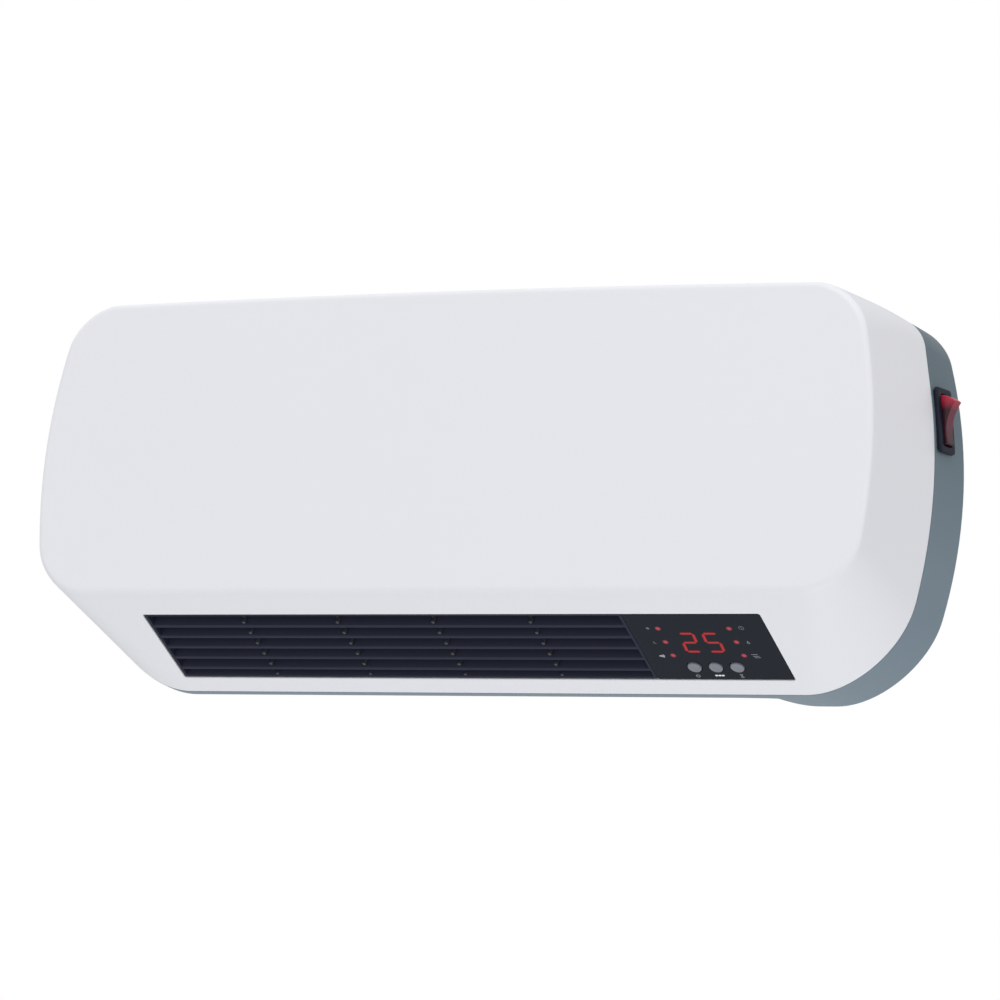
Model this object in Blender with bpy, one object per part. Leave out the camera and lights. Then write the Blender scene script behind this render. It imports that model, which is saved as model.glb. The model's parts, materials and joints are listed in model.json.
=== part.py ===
"""Wall-mounted fan convector heater, built as an assembly of separate pieces.

Metres, +Z up.  The origin is the centre of the face that lies on the wall: +X is to the right
of someone looking at the heater, +Y goes into the wall, and the front of the heater faces -Y.

The casing is a front cover and a rear housing, each lofted through rounded sections.  Air is drawn
in through the top, driven by a cross-flow fan past two heating elements, and leaves through the
grille in the sloping underside, beside the control panel.
"""
from __future__ import annotations

import math
from dataclasses import dataclass, replace

import bmesh
import bpy
from mathutils import Matrix, Vector

GAP = 0.0003            # clearance between pieces that touch
OVERLAP = 0.001         # how far a joined shape reaches into its neighbour


# ------------------------------------------------------------------ driving dimensions: casing
@dataclass(frozen=True)
class Section:
    """A rounded rectangle in the XZ plane whose sides bow outward and whose top is crowned."""

    half_width: float
    top: float
    bottom: float
    top_radius: float
    bottom_radius: float
    bow: float            # how far the sides fall in at the top and bottom
    taper: float          # extra fall at the top, less at the bottom
    crown: float          # how far the top falls from its middle to its ends

    def inset(self, distance: float) -> Section:
        """The same shape with its edge moved inward."""
        return replace(
            self,
            half_width=self.half_width - distance,
            top=self.top - distance,
            bottom=self.bottom + distance,
            top_radius=self.top_radius - distance,
            bottom_radius=self.bottom_radius - distance,
        )

    def bend(self, x: float, z: float) -> tuple[float, float]:
        """Move a point of the plain rounded rectangle onto the bowed and crowned one."""
        half_height = (self.top - self.bottom) / 2
        u = (z - (self.top + self.bottom) / 2) / half_height
        across = x / self.half_width
        x_bent = x - (self.bow * u * u + self.taper * u) * across
        z_bent = z - self.crown * across * across * max(u, 0.0)
        return x_bent, z_bent


FRONT_EDGE = Section(0.2213, 0.0993, -0.0465, 0.0226, 0.0243, 0.0096, 0.0036, 0.002)
JOINT_EDGE = Section(0.2244, 0.0945, -0.0843, 0.0140, 0.0436, 0.0154, -0.0024, 0.0026)
WALL_EDGE = Section(0.2279, 0.0964, -0.0859, 0.0195, 0.0410, 0.0185, -0.0020, 0.0022)
FRONT_TOP_Y = -0.0912            # the front face leans: its top is nearer the wall
FRONT_BOTTOM_Y = -0.09635
JOINT_Y = -0.0283                # where the front cover meets the rear housing
HOUSING_RIM_Y = JOINT_Y + 0.0004
WALL = 0.0025                    # thickness of both shells
EDGE_ROUND = 0.003               # softness of the edge round the front face
EDGE_STEPS = 4
TONGUE_LENGTH = 0.0045           # lip of the housing that goes inside the cover
TONGUE_WALL = 0.0015
TONGUE_CLEARANCE = 0.0004
CORNER_SWELL = 0.0017            # fullness of the casing at its two top corners
SWELL_START_X = 0.17
SWELL_START_Z = 0.062
SWELL_REACH = 0.75               # share of a half wave that has passed at the joint

# The back of the housing's underside is stepped up, except where the cable comes in.
STEP_HEIGHT = 0.0112
STEP_FRONT_Y = -0.0213
STEP_BACK_Y = -0.0105
LOBE_START_X = 0.1035
LOBE_END_X = 0.1613
LOBE_FADE_Z = -0.040             # the step fades out up the side from its full height
LOBE_FULL_Z = -0.078

TOP_SEGMENTS = 4
SIDE_SEGMENTS = 7
TOP_CORNER_SEGMENTS = 5
BOTTOM_CORNER_SEGMENTS = 7
LOBE_SEGMENTS = 8                # breaks in the bottom edge where the lobe rises into the step

# ------------------------------------------------------------------ driving dimensions: underside
SLOPE_RUN = JOINT_Y - FRONT_BOTTOM_Y
SLOPE_DROP = FRONT_EDGE.bottom - JOINT_EDGE.bottom
SLOPE_LENGTH = math.hypot(SLOPE_RUN, SLOPE_DROP)
SLOPE_ANGLE = math.atan2(SLOPE_DROP, SLOPE_RUN)
OPENING_LEFT = -0.1648
OPENING_RIGHT = 0.1653
OPENING_NEAR = 0.0165            # distances down the slope from the front edge
OPENING_FAR = 0.0667
SPLIT_X = 0.0944                 # where the grille ends and the control panel begins
LIP_WIDTH = 0.0024
LIP_FRONT = 0.0026               # depth behind the outer face at which the lips bear
LIP_BACK = 0.0042

SLAT_COUNT = 5
SLAT_FIRST = 0.0265
SLAT_PITCH = 0.00827
SLAT_THICKNESS = 0.0018
SLAT_FRONT = 0.0006
SLAT_BACK = 0.0085
SLAT_SHIFT = (SLAT_BACK - SLAT_FRONT) * math.tan(SLOPE_ANGLE)      # the slats stand upright in the slope
RIB_XS = (-0.1113, -0.0594, -0.0075, 0.0444)
RIB_THICKNESS = 0.0016
RIB_FRONT = 0.0030
RIB_BACK = 0.0070
GRILLE_BORDER = 0.0016

FASCIA_FRONT = 0.0003
FASCIA_BACK = 0.0027
BUTTON_XS = (0.1171, 0.1281, 0.1391)
BUTTON_V = 0.0568
BUTTON_RADIUS = 0.0034
BUTTON_PROUD = 0.0008
BUTTON_HOLE_RADIUS = 0.0038
BUTTON_FLANGE_RADIUS = 0.0045
BUTTON_STEM_RADIUS = 0.0016
BUTTON_STEM_END = 0.0076
BUTTON_FLANGE_THICKNESS = 0.0010
BUTTON_EDGE = 0.0005
BUTTON_NAMES = ("left", "middle", "right")
LED_XS = (0.1094, 0.1458)
LED_VS = (0.0277, 0.0379, 0.0480)
LED_RADIUS = 0.0015
LED_SIDES = ("left", "right")
LED_ROWS = ("upper", "centre", "lower")
DISPLAY_CENTRE = (0.1277, 0.0382)
DISPLAY_SIZE = (0.0250, 0.0190)
PARTS_FACE = 0.0030              # depth at which display and lamps begin, behind the fascia
BOARD_FRONT = 0.0120
BOARD_THICKNESS = 0.0016
TACT_SIZE = 0.0060
TACT_FRONT = 0.0092
TACT_PLUNGER_TIP = 0.0084
TACT_PLUNGER_RADIUS = 0.0016
BOARD_LEFT_NEAR = (0.0990, 0.0195)
BOARD_RIGHT_FAR = (0.1625, 0.0640)
BOARD_POSTS = ((0.1020, 0.0225), (0.1590, 0.0610))       # where the board is screwed to the fascia
BOARD_POST_RADIUS = 0.0020
BOARD_POST_BORE = 0.0011
BOARD_SCREW_RADIUS = 0.0008
BOARD_SCREW_LENGTH = 0.0060
RECEIVER_LEFT_NEAR = (0.1500, 0.0535)
RECEIVER_SIZE = 0.0060
RECEIVER_FRONT = 0.0060

# ------------------------------------------------------------------ driving dimensions: air path
FAN_Y = -0.050
FAN_Z = 0.024
FAN_RADIUS = 0.025
FAN_LEFT = -0.1600
FAN_RIGHT = 0.0920
BLADE_COUNT = 16
BLADE_INNER_RADIUS = 0.0190
BLADE_THICKNESS = 0.0011
BLADE_SWEEP = math.radians(16)
DISC_COUNT = 4
DISC_THICKNESS = 0.002
DISC_HOLE_RADIUS = 0.0165
HUB_RADIUS = 0.0075
HUB_LENGTH = 0.010
SHAFT_RADIUS = 0.003

DUCT_LEFT = -0.1630              # inner faces of the two end plates
DUCT_RIGHT = 0.0955
PLATE_THICKNESS = 0.0018
DUCT_WALL = 0.0018
SCROLL_START = math.radians(72)
SCROLL_END = math.radians(-58)
SCROLL_RADIUS_START = 0.0282
SCROLL_RADIUS_END = 0.0325
SCROLL_STEPS = 14
DUCT_REAR_FOOT = (-0.0362, -0.0668)     # (y, z) where the rear wall of the duct ends
TONGUE_TOP = (-0.0790, 0.0200)
TONGUE_NEAR_FAN = (-0.0775, 0.0100)
DUCT_FRONT_FOOT = (-0.0840, -0.0430)

DUCT_REAR_BEND = (-0.0350, -0.0160)     # where the scroll ends and the straight rear wall begins
DUCT_FRONT_BEND = (-0.0825, -0.0150)
PLATE_FOOT_EDGE = -0.0640               # lowest edge of the end plates behind the duct
PLATE_BACK = ((-0.0160, 0.0050), (-0.0135, 0.0240), (-0.0190, 0.0440), (-0.0330, 0.0580), (-0.0560, 0.0600),
              (-0.0760, 0.0500), (-0.0860, 0.0300), (-0.0880, -0.0300), (-0.0870, -0.0400))
PLATE_MOTOR_HOLE = 0.0040
PLATE_BEARING_HOLE = 0.0093

ELEMENT_LEFT = -0.1560
ELEMENT_RIGHT = 0.0885
ELEMENT_TOP = -0.0225
ELEMENT_BOTTOM = -0.0375
ELEMENT_WIDTH = 0.0200
ELEMENT_YS = (-0.0707, -0.0497)
FIN_PITCH = 0.0102
FIN_THICKNESS = 0.0012
ELEMENT_CORE = 0.0050

CUTOUT_XZ = (-0.030, -0.040)     # thermal cut-out behind the duct, and the fuse beside it
CUTOUT_FLANGE_RADIUS = 0.0080
CUTOUT_FLANGE_THICKNESS = 0.0035
CUTOUT_RADIUS = 0.0065
CUTOUT_HEIGHT = 0.0085
FUSE_START_X = 0.010
FUSE_END_X = 0.024
FUSE_RADIUS = 0.0020

MOTOR_RADIUS = 0.0210
MOTOR_LENGTH = 0.0380
MOTOR_SHELL = 0.0012
STATOR_INNER_RADIUS = 0.0125
ROTOR_RADIUS = 0.0118
ROTOR_START = 0.0100             # distances from the motor's left end
ROTOR_LENGTH = 0.0180
STATOR_START = 0.0080
STATOR_END = 0.0300
MOTOR_CAP_THICKNESS = 0.0030
STUB_PAST_PLATE = 0.0060
BEARING_PAST_PLATE = 0.0032
BUSH_OUTER_RADIUS = 0.0050
RING_RADIUS = 0.0090

# ------------------------------------------------------------------ driving dimensions: switch
SWITCH_Y = -0.0197
SWITCH_Z = 0.0452
BEZEL_LENGTH = 0.0310
BEZEL_WIDTH = 0.0140
BEZEL_THICKNESS = 0.0016
BARREL_LENGTH = 0.0276
BARREL_WIDTH = 0.0118
BARREL_DEPTH = 0.0190
ROCKER_WIDTH = 0.0064
ROCKER_HALF_LENGTH = 0.0100
ROCKER_END_HEIGHT = 0.0067
ROCKER_MIDDLE_HEIGHT = 0.0042
ROCKER_UNDERSIDE = -0.0034
ROCKER_REST = math.radians(15)
ROCKER_POCKET = 0.0072           # depth of the pocket below the pivot
ROCKER_CLEARANCE = 0.0004
PIVOT_BELOW_FACE = 0.0022
PIVOT_PIN_RADIUS = 0.0011
TERMINAL_TAB_ZS = (-0.0080, 0.0, 0.0080)
TERMINAL_TAB_LENGTH = 0.0070
TERMINAL_TAB_HALF_WIDTH = 0.0024
TERMINAL_TAB_HALF_THICKNESS = 0.0004

# ------------------------------------------------------------------ driving dimensions: fixings
COVER_POST_XZ = ((-0.190, 0.070), (0.190, 0.070), (-0.190, -0.030), (0.190, -0.030))
POST_RADIUS = 0.0040
POST_BORE_RADIUS = 0.0018
POST_END_Y = -0.0300
TUNNEL_RADIUS = 0.0050
TUNNEL_BORE_RADIUS = 0.0037
TUNNEL_SHOULDER_Y = -0.0220
SCREW_HEAD_RADIUS = 0.0032
SCREW_HEAD_HEIGHT = 0.0020
SCREW_RADIUS = 0.0014
SCREW_LENGTH = 0.0200

POCKET_HALF_WIDTH = 0.0980
POCKET_BOTTOM = 0.0400
POCKET_TOP = 0.0780
POCKET_DEPTH = 0.0050
BRACKET_HALF_WIDTH = 0.0920
BRACKET_BOTTOM = 0.0440
BRACKET_TOP = 0.0740
BRACKET_THICKNESS = 0.0015
HOOK_XS = (-0.055, 0.055)
HOOK_WIDTH = 0.016
HOOK_ARM_TOP = 0.0600
HOOK_RISE = 0.0080
HOOK_LIP_Y = -0.0082
BRACKET_HOLE_XS = (-0.0800, 0.0, 0.0800)
BRACKET_HOLE_RADIUS = 0.0025

FOOT_BOSS_ZS = (-0.050, -0.014)
FOOT_BOSS_RADIUS = 0.0040
FOOT_BACK_Y = -0.0120
FOOT_WIDTH = 0.0120
FOOT_BOTTOM = -0.0600
FOOT_TOP = -0.0060

POWER_BOARD = ((0.1160, -0.0220), (0.1780, 0.0520))      # (x, z) corners
POWER_BOARD_BACK_Y = -0.0100
STANDOFF_RADIUS = 0.0025
BOARD_MARGIN = 0.0050
RELAY_SIZE = (0.0190, 0.0155, 0.0150)
RELAY_X = 0.0060                 # x measured from the board's left edge
RELAY_ZS = (0.0280, 0.0060)
TRANSFORMER_SIZE = (0.0220, 0.0180, 0.0260)
TRANSFORMER_XZ = (0.0320, 0.0140)
CAPACITOR_XZ = (0.0430, -0.0050)
CAPACITOR_RADIUS = 0.0060
CAPACITOR_HEIGHT = 0.0180
TERMINAL_XS = (0.1400, 0.1500, 0.1600)
TERMINAL_Z = -0.0560
TERMINAL_HALF = (0.0150, 0.0060)
TERMINAL_HEIGHT = 0.0150
TERMINAL_WELL_RADIUS = 0.0022

MOTOR_LEAD_RADIUS = 0.0016
MOTOR_LEAD_ROUTE = ((0.1130, -0.0085, 0.0330), (0.1020, -0.0085, 0.0330), (0.0500, -0.0085, 0.0330),
                    (-0.0500, -0.0085, 0.0330), (-0.1500, -0.0085, 0.0330), (-0.1750, -0.0110, 0.0320),
                    (-0.1850, -0.0180, 0.0290), (-0.1880, -0.0265, 0.0260))
SWITCH_LEAD_RADIUS = 0.0018
SWITCH_LEAD_ROUTE = ((0.1500, -0.0250, -0.0560), (0.1620, -0.0330, -0.0450), (0.1820, -0.0380, -0.0100),
                     (0.1880, -0.0360, 0.0200), (0.1900, -0.0280, 0.0380), (0.1925, -0.0230, 0.0430))

CABLE_X = 0.1500                 # the supply cable comes in through the back
CABLE_Z = -0.0380
CABLE_BORE_RADIUS = 0.0040
CABLE_RECESS_RADIUS = 0.0085
CABLE_RECESS_DEPTH = 0.0026
CABLE_BOSS_RADIUS = 0.0110
BUSH_RADIUS = 0.0055
BUSH_FLANGE_RADIUS = 0.0078
BUSH_FLANGE_THICKNESS = 0.0014

INTAKE_HALF_WIDTH = 0.1460
INTAKE_FRONT_Y = -0.0800
INTAKE_BACK_Y = -0.0400
INTAKE_RECESS = 0.0016
INTAKE_PLATE = 0.0026
INTAKE_SLOT_COUNT = 32
INTAKE_SLOT_WIDTH = 0.0042
INTAKE_SLOT_MARGIN = 0.0030


# ------------------------------------------------------------------ materials
PALETTE = {
    "white_cover": ((0.78, 0.78, 0.81), 0.38, 0.0),
    "teal_housing": ((0.15, 0.20, 0.23), 0.45, 0.0),
    "navy_grille": ((0.015, 0.017, 0.025), 0.45, 0.0),
    "smoked_fascia": ((0.020, 0.026, 0.034), 0.25, 0.0),
    "button_grey": ((0.20, 0.21, 0.24), 0.40, 0.0),
    "red_lens": ((0.45, 0.02, 0.03), 0.25, 0.0),
    "black_plastic": ((0.012, 0.013, 0.018), 0.40, 0.0),
    "red_rocker": ((0.40, 0.02, 0.04), 0.22, 0.0),
    "circuit_board": ((0.03, 0.16, 0.07), 0.50, 0.0),
    "aluminium": ((0.80, 0.81, 0.82), 0.35, 1.0),
    "galvanised_steel": ((0.55, 0.57, 0.58), 0.42, 1.0),
    "steel": ((0.60, 0.60, 0.60), 0.30, 1.0),
    "brass": ((0.75, 0.55, 0.25), 0.35, 1.0),
    "copper_winding": ((0.55, 0.24, 0.12), 0.45, 1.0),
    "rubber": ((0.02, 0.02, 0.02), 0.80, 0.0),
    "cream_plastic": ((0.70, 0.66, 0.55), 0.50, 0.0),
    "relay_blue": ((0.05, 0.16, 0.42), 0.40, 0.0),
    "wire_sheath": ((0.25, 0.03, 0.03), 0.55, 0.0),
}


def material(name: str) -> bpy.types.Material:
    """Return the named finish, making it the first time it is asked for."""
    known = bpy.data.materials.get(name)
    if known:
        return known
    colour, roughness, metallic = PALETTE[name]
    made = bpy.data.materials.new(name)
    made.use_nodes = True
    shader = made.node_tree.nodes["Principled BSDF"]
    shader.inputs["Base Color"].default_value = (*colour, 1.0)
    shader.inputs["Roughness"].default_value = roughness
    shader.inputs["Metallic"].default_value = metallic
    made.diffuse_color = (*colour, 1.0)
    return made


# ------------------------------------------------------------------ mesh helpers
def clear_scene() -> None:
    for old in list(bpy.data.objects):
        bpy.data.objects.remove(old, do_unlink=True)


def add_object(name: str, mesh_data: bmesh.types.BMesh, finish: str,
               parent: bpy.types.Object | None = None, smooth: bool = False) -> bpy.types.Object:
    """Turn a bmesh into a linked object with its faces pointing out."""
    bmesh.ops.recalc_face_normals(mesh_data, faces=mesh_data.faces[:])
    mesh = bpy.data.meshes.new(name)
    mesh_data.to_mesh(mesh)
    mesh_data.free()
    mesh.materials.append(material(finish))
    if smooth:
        mesh.shade_smooth()
        mesh.set_sharp_from_angle(angle=math.radians(35))
    made = bpy.data.objects.new(name, mesh)
    bpy.context.collection.objects.link(made)
    made.parent = parent
    return made


def add_empty(name: str, matrix: Matrix, parent: bpy.types.Object | None = None) -> bpy.types.Object:
    empty = bpy.data.objects.new(name, None)
    empty.empty_display_size = 0.02
    bpy.context.collection.objects.link(empty)
    empty.parent = parent
    empty.matrix_basis = matrix
    return empty


def combine(target: bpy.types.Object, other: bpy.types.Object, operation: str) -> None:
    """Join another object to the target, or cut it away, and hide the other object."""
    modifier = target.modifiers.new(f"{operation.lower()}_{other.name}", "BOOLEAN")
    modifier.operation = operation
    modifier.object = other
    other.hide_render = True
    other.display_type = "WIRE"


def add_box(mesh_data, low, high) -> None:
    """Add a box between two opposite corners."""
    corners = [Vector((x, y, z)) for x in (low[0], high[0]) for y in (low[1], high[1]) for z in (low[2], high[2])]
    verts = [mesh_data.verts.new(corner) for corner in corners]
    for face in ((0, 1, 3, 2), (4, 6, 7, 5), (0, 4, 5, 1), (2, 3, 7, 6), (0, 2, 6, 4), (1, 5, 7, 3)):
        mesh_data.faces.new([verts[index] for index in face])


def add_loft(mesh_data, rings) -> None:
    """Skin a row of rings that have equally many points, and fill the first and last."""
    loops = [[mesh_data.verts.new(point) for point in ring] for ring in rings]
    count = len(loops[0])
    for near, far in zip(loops, loops[1:]):
        for index in range(count):
            following = (index + 1) % count
            mesh_data.faces.new((near[index], near[following], far[following], far[index]))
    mesh_data.faces.new(loops[0][::-1])
    mesh_data.faces.new(loops[-1])


def add_prism(mesh_data, outline, axis: str, start: float, end: float) -> None:
    """Extrude a 2-D outline along X, Y or Z; the outline gives the other two coordinates in order."""
    def place(point, level):
        first, second = point
        return {"X": (level, first, second), "Y": (first, level, second), "Z": (first, second, level)}[axis]

    add_loft(mesh_data, [[Vector(place(point, level)) for point in outline] for level in (start, end)])


def add_turned(mesh_data, profile, centre, axis: str, sides: int = 20) -> None:
    """Turn a closed run of (radius, level) points about an axis through the centre.

    A profile that starts and ends on the axis (radius 0) makes a solid piece; one that stays off the
    axis makes a ring, whose last point joins its first.
    """
    def place(radius, level, angle):
        first = radius * math.cos(angle)
        second = radius * math.sin(angle)
        local = {"X": (level, first, second), "Y": (second, level, first), "Z": (first, second, level)}[axis]
        return Vector(centre) + Vector(local)

    angles = [math.tau * index / sides for index in range(sides)]
    solid = profile[0][0] == 0.0
    if solid:
        rings = [[place(radius, level, angle) for angle in angles] for radius, level in profile[1:-1]]
        add_loft(mesh_data, rings)
        return
    loops = [[mesh_data.verts.new(place(radius, level, angle)) for angle in angles] for radius, level in profile]
    for index, near in enumerate(loops):
        far = loops[(index + 1) % len(loops)]
        for side in range(sides):
            following = (side + 1) % sides
            mesh_data.faces.new((near[side], near[following], far[following], far[side]))


def add_rod(mesh_data, centre, axis: str, radius: float, start: float, end: float, sides: int = 16) -> None:
    """Add a plain cylinder between two levels along an axis."""
    add_turned(mesh_data, ((0.0, start), (radius, start), (radius, end), (0.0, end)), centre, axis, sides)


def smoothstep(low: float, high: float, value: float) -> float:
    t = min(max((value - low) / (high - low), 0.0), 1.0)
    return t * t * (3.0 - 2.0 * t)


# ------------------------------------------------------------------ casing sections
def arc(centre_x, centre_z, radius, start_degrees, end_degrees, segments):
    """Points of a quarter turn, both ends included."""
    for index in range(segments + 1):
        angle = math.radians(start_degrees + (end_degrees - start_degrees) * index / segments)
        yield centre_x + radius * math.cos(angle), centre_z + radius * math.sin(angle)


def outline(section: Section) -> list[tuple[float, float]]:
    """The section's outline, round from the left end of its bottom edge, clockwise from the front."""
    right = section.half_width - section.bottom_radius
    top_right = section.half_width - section.top_radius
    points: list[tuple[float, float]] = []
    low_z = section.bottom + section.bottom_radius
    high_z = section.top - section.top_radius
    points += arc(-right, low_z, section.bottom_radius, 270, 180, BOTTOM_CORNER_SEGMENTS)
    for index in range(1, SIDE_SEGMENTS):
        points.append((-section.half_width, low_z + (high_z - low_z) * index / SIDE_SEGMENTS))
    points += arc(-top_right, high_z, section.top_radius, 180, 90, TOP_CORNER_SEGMENTS)
    for index in range(1, TOP_SEGMENTS):
        points.append((-top_right + 2 * top_right * index / TOP_SEGMENTS, section.top))
    points += arc(top_right, high_z, section.top_radius, 90, 0, TOP_CORNER_SEGMENTS)
    for index in range(1, SIDE_SEGMENTS):
        points.append((section.half_width, high_z + (low_z - high_z) * index / SIDE_SEGMENTS))
    points += arc(right, low_z, section.bottom_radius, 0, -90, BOTTOM_CORNER_SEGMENTS)
    bent = [section.bend(x, z) for x, z in points]
    flat_end = bent[-1][0]
    for index in range(1, LOBE_SEGMENTS + 1):
        bent.append((flat_end + (LOBE_START_X - flat_end) * index / LOBE_SEGMENTS, section.bottom))
    return bent


def front_ring(inset: float, depth: float) -> list[Vector]:
    """Ring of the front face's edge, moved in by the inset and back by the depth."""
    slope = (FRONT_BOTTOM_Y - FRONT_TOP_Y) / (FRONT_EDGE.bottom - FRONT_EDGE.top)
    ring = []
    for x, z in outline(FRONT_EDGE.inset(inset)):
        ring.append(Vector((x, FRONT_TOP_Y + slope * (z - FRONT_EDGE.top) + depth, z)))
    return ring


def flat_ring(section: Section, inset: float, y: float) -> list[Vector]:
    return [Vector((x, y, z)) for x, z in outline(section.inset(inset))]


def mix_rings(first, second, share: float) -> list[Vector]:
    return [a.lerp(b, share) for a, b in zip(first, second)]


def swelled(ring: list[Vector], share: float) -> list[Vector]:
    """The ring with its top corners pushed out: nothing at the front edge, most before the joint."""
    swell = CORNER_SWELL * math.sin(math.pi * SWELL_REACH * share)
    for point in ring:
        across = smoothstep(SWELL_START_X, FRONT_EDGE.half_width, abs(point.x))
        push = swell * across * smoothstep(SWELL_START_Z, JOINT_EDGE.top, point.z)
        point.x += math.copysign(push, point.x)
        point.z += push
    return ring


def cover_ring(share: float, inset: float) -> list[Vector]:
    """Ring of the cover's side, from the front edge (share 0) to the joint (share 1)."""
    ring = mix_rings(front_ring(inset, 0.0), flat_ring(JOINT_EDGE, inset, JOINT_Y), share)
    return swelled(ring, share)


def housing_ring(y: float, inset: float) -> list[Vector]:
    """Ring of the rear housing at a depth, with the step in the back of its underside."""
    share = (y - JOINT_Y) / -JOINT_Y
    ring = mix_rings(flat_ring(JOINT_EDGE, inset, y), flat_ring(WALL_EDGE, inset, y), share)
    ring = swelled(ring, 1.0 + (1.0 / SWELL_REACH - 1.0) * share)
    step = STEP_HEIGHT * smoothstep(STEP_FRONT_Y, STEP_BACK_Y, y)
    for point in ring:
        fade = smoothstep(LOBE_FADE_Z, LOBE_FULL_Z, point.z)
        point.z += step * fade * (1.0 - smoothstep(LOBE_START_X, LOBE_END_X, point.x))
    return ring


def side_surface(y: float, z: float) -> Vector:
    """The point of the housing's right side at this depth and height."""
    share = (y - JOINT_Y) / -JOINT_Y
    xs = []
    for section in (JOINT_EDGE, WALL_EDGE):
        xs.append(section.bend(section.half_width, z)[0])
    return Vector((xs[0] + (xs[1] - xs[0]) * share, y, z))


# ------------------------------------------------------------------ casing pieces
def front_face_y(z: float) -> float:
    """Depth of the leaning front face at a height."""
    share = (FRONT_EDGE.top - z) / (FRONT_EDGE.top - FRONT_EDGE.bottom)
    return FRONT_TOP_Y + (FRONT_BOTTOM_Y - FRONT_TOP_Y) * share


def make_front_cover(underside: bpy.types.Object) -> None:
    """White shell: leaning front face, side band and sloping underside, with posts for its screws."""
    face = front_ring(EDGE_ROUND, 0.0)
    corner = front_ring(0.0, 0.0)
    side = cover_ring(EDGE_ROUND / SLOPE_RUN, 0.0)
    rings = [face]
    for step in range(1, EDGE_STEPS + 1):
        share = step / EDGE_STEPS
        rings.append(mix_rings(mix_rings(face, corner, share), mix_rings(corner, side, share), share))
    rings.append(cover_ring(1.0, 0.0))
    rings.append(cover_ring(1.0, WALL))
    inner_side = cover_ring(0.12, WALL)
    inner_face = front_ring(WALL + EDGE_ROUND, WALL)
    inner_corner = mix_rings(front_ring(WALL + 0.0015, WALL), inner_side, 0.15)
    rings += [inner_side, inner_corner, inner_face]
    shell_data = bmesh.new()
    add_loft(shell_data, rings)
    cover = add_object("front_cover", shell_data, "white_cover", smooth=True)

    posts = bmesh.new()
    bores = bmesh.new()
    for x, z in COVER_POST_XZ:
        root_y = front_face_y(z) + WALL - OVERLAP
        add_rod(posts, (x, 0.0, z), "Y", POST_RADIUS, root_y, POST_END_Y, 12)
        add_rod(bores, (x, 0.0, z), "Y", POST_BORE_RADIUS, POST_END_Y - 0.016, POST_END_Y + 0.004, 10)
    combine(cover, add_object("cover_posts", posts, "white_cover"), "UNION")
    combine(cover, add_object("cover_bores", bores, "white_cover"), "DIFFERENCE")

    opening = bmesh.new()
    add_box(opening, (OPENING_LEFT, OPENING_NEAR, -0.004), (OPENING_RIGHT, OPENING_FAR, 0.006))
    combine(cover, add_object("outlet_cutter", opening, "white_cover", underside), "DIFFERENCE")
    intake = bmesh.new()
    add_box(intake, (-INTAKE_HALF_WIDTH, INTAKE_FRONT_Y, 0.088), (INTAKE_HALF_WIDTH, INTAKE_BACK_Y, 0.104))
    combine(cover, add_object("intake_cutter", intake, "white_cover"), "DIFFERENCE")


def make_intake_grille() -> None:
    """Slotted plate in the top of the cover, held by a lip under the wall."""
    top_y_span = JOINT_Y - FRONT_TOP_Y
    lean = math.atan2(JOINT_EDGE.top - FRONT_EDGE.top, top_y_span)
    middle_y = (INTAKE_FRONT_Y + INTAKE_BACK_Y) / 2
    surface_z = FRONT_EDGE.top + (JOINT_EDGE.top - FRONT_EDGE.top) * (middle_y - FRONT_TOP_Y) / top_y_span
    frame = add_empty("intake_frame",
                      Matrix.Translation((0.0, middle_y, surface_z)) @ Matrix.Rotation(lean, 4, "X"))
    half_depth = (INTAKE_BACK_Y - INTAKE_FRONT_Y) / 2 - GAP
    half_width = INTAKE_HALF_WIDTH - GAP
    plate_bottom = -INTAKE_RECESS - INTAKE_PLATE
    plate = bmesh.new()
    add_box(plate, (-half_width, -half_depth, plate_bottom), (half_width, half_depth, -INTAKE_RECESS))
    grille = add_object("intake_grille", plate, "navy_grille", frame)
    lip = bmesh.new()
    add_box(lip, (-half_width - LIP_WIDTH, -half_depth - LIP_WIDTH, plate_bottom - 0.0012),
            (half_width + LIP_WIDTH, half_depth + LIP_WIDTH, plate_bottom + 0.0002))
    combine(grille, add_object("intake_lip", lip, "navy_grille", frame), "UNION")
    slots = bmesh.new()
    pitch = 2 * (half_width - INTAKE_SLOT_MARGIN) / INTAKE_SLOT_COUNT
    reach = half_depth - INTAKE_SLOT_MARGIN
    for index in range(INTAKE_SLOT_COUNT):
        x = -half_width + INTAKE_SLOT_MARGIN + pitch * (index + 0.5)
        add_box(slots, (x - INTAKE_SLOT_WIDTH / 2, -reach, -0.010), (x + INTAKE_SLOT_WIDTH / 2, reach, 0.004))
    combine(grille, add_object("intake_slots", slots, "navy_grille", frame), "DIFFERENCE")


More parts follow.
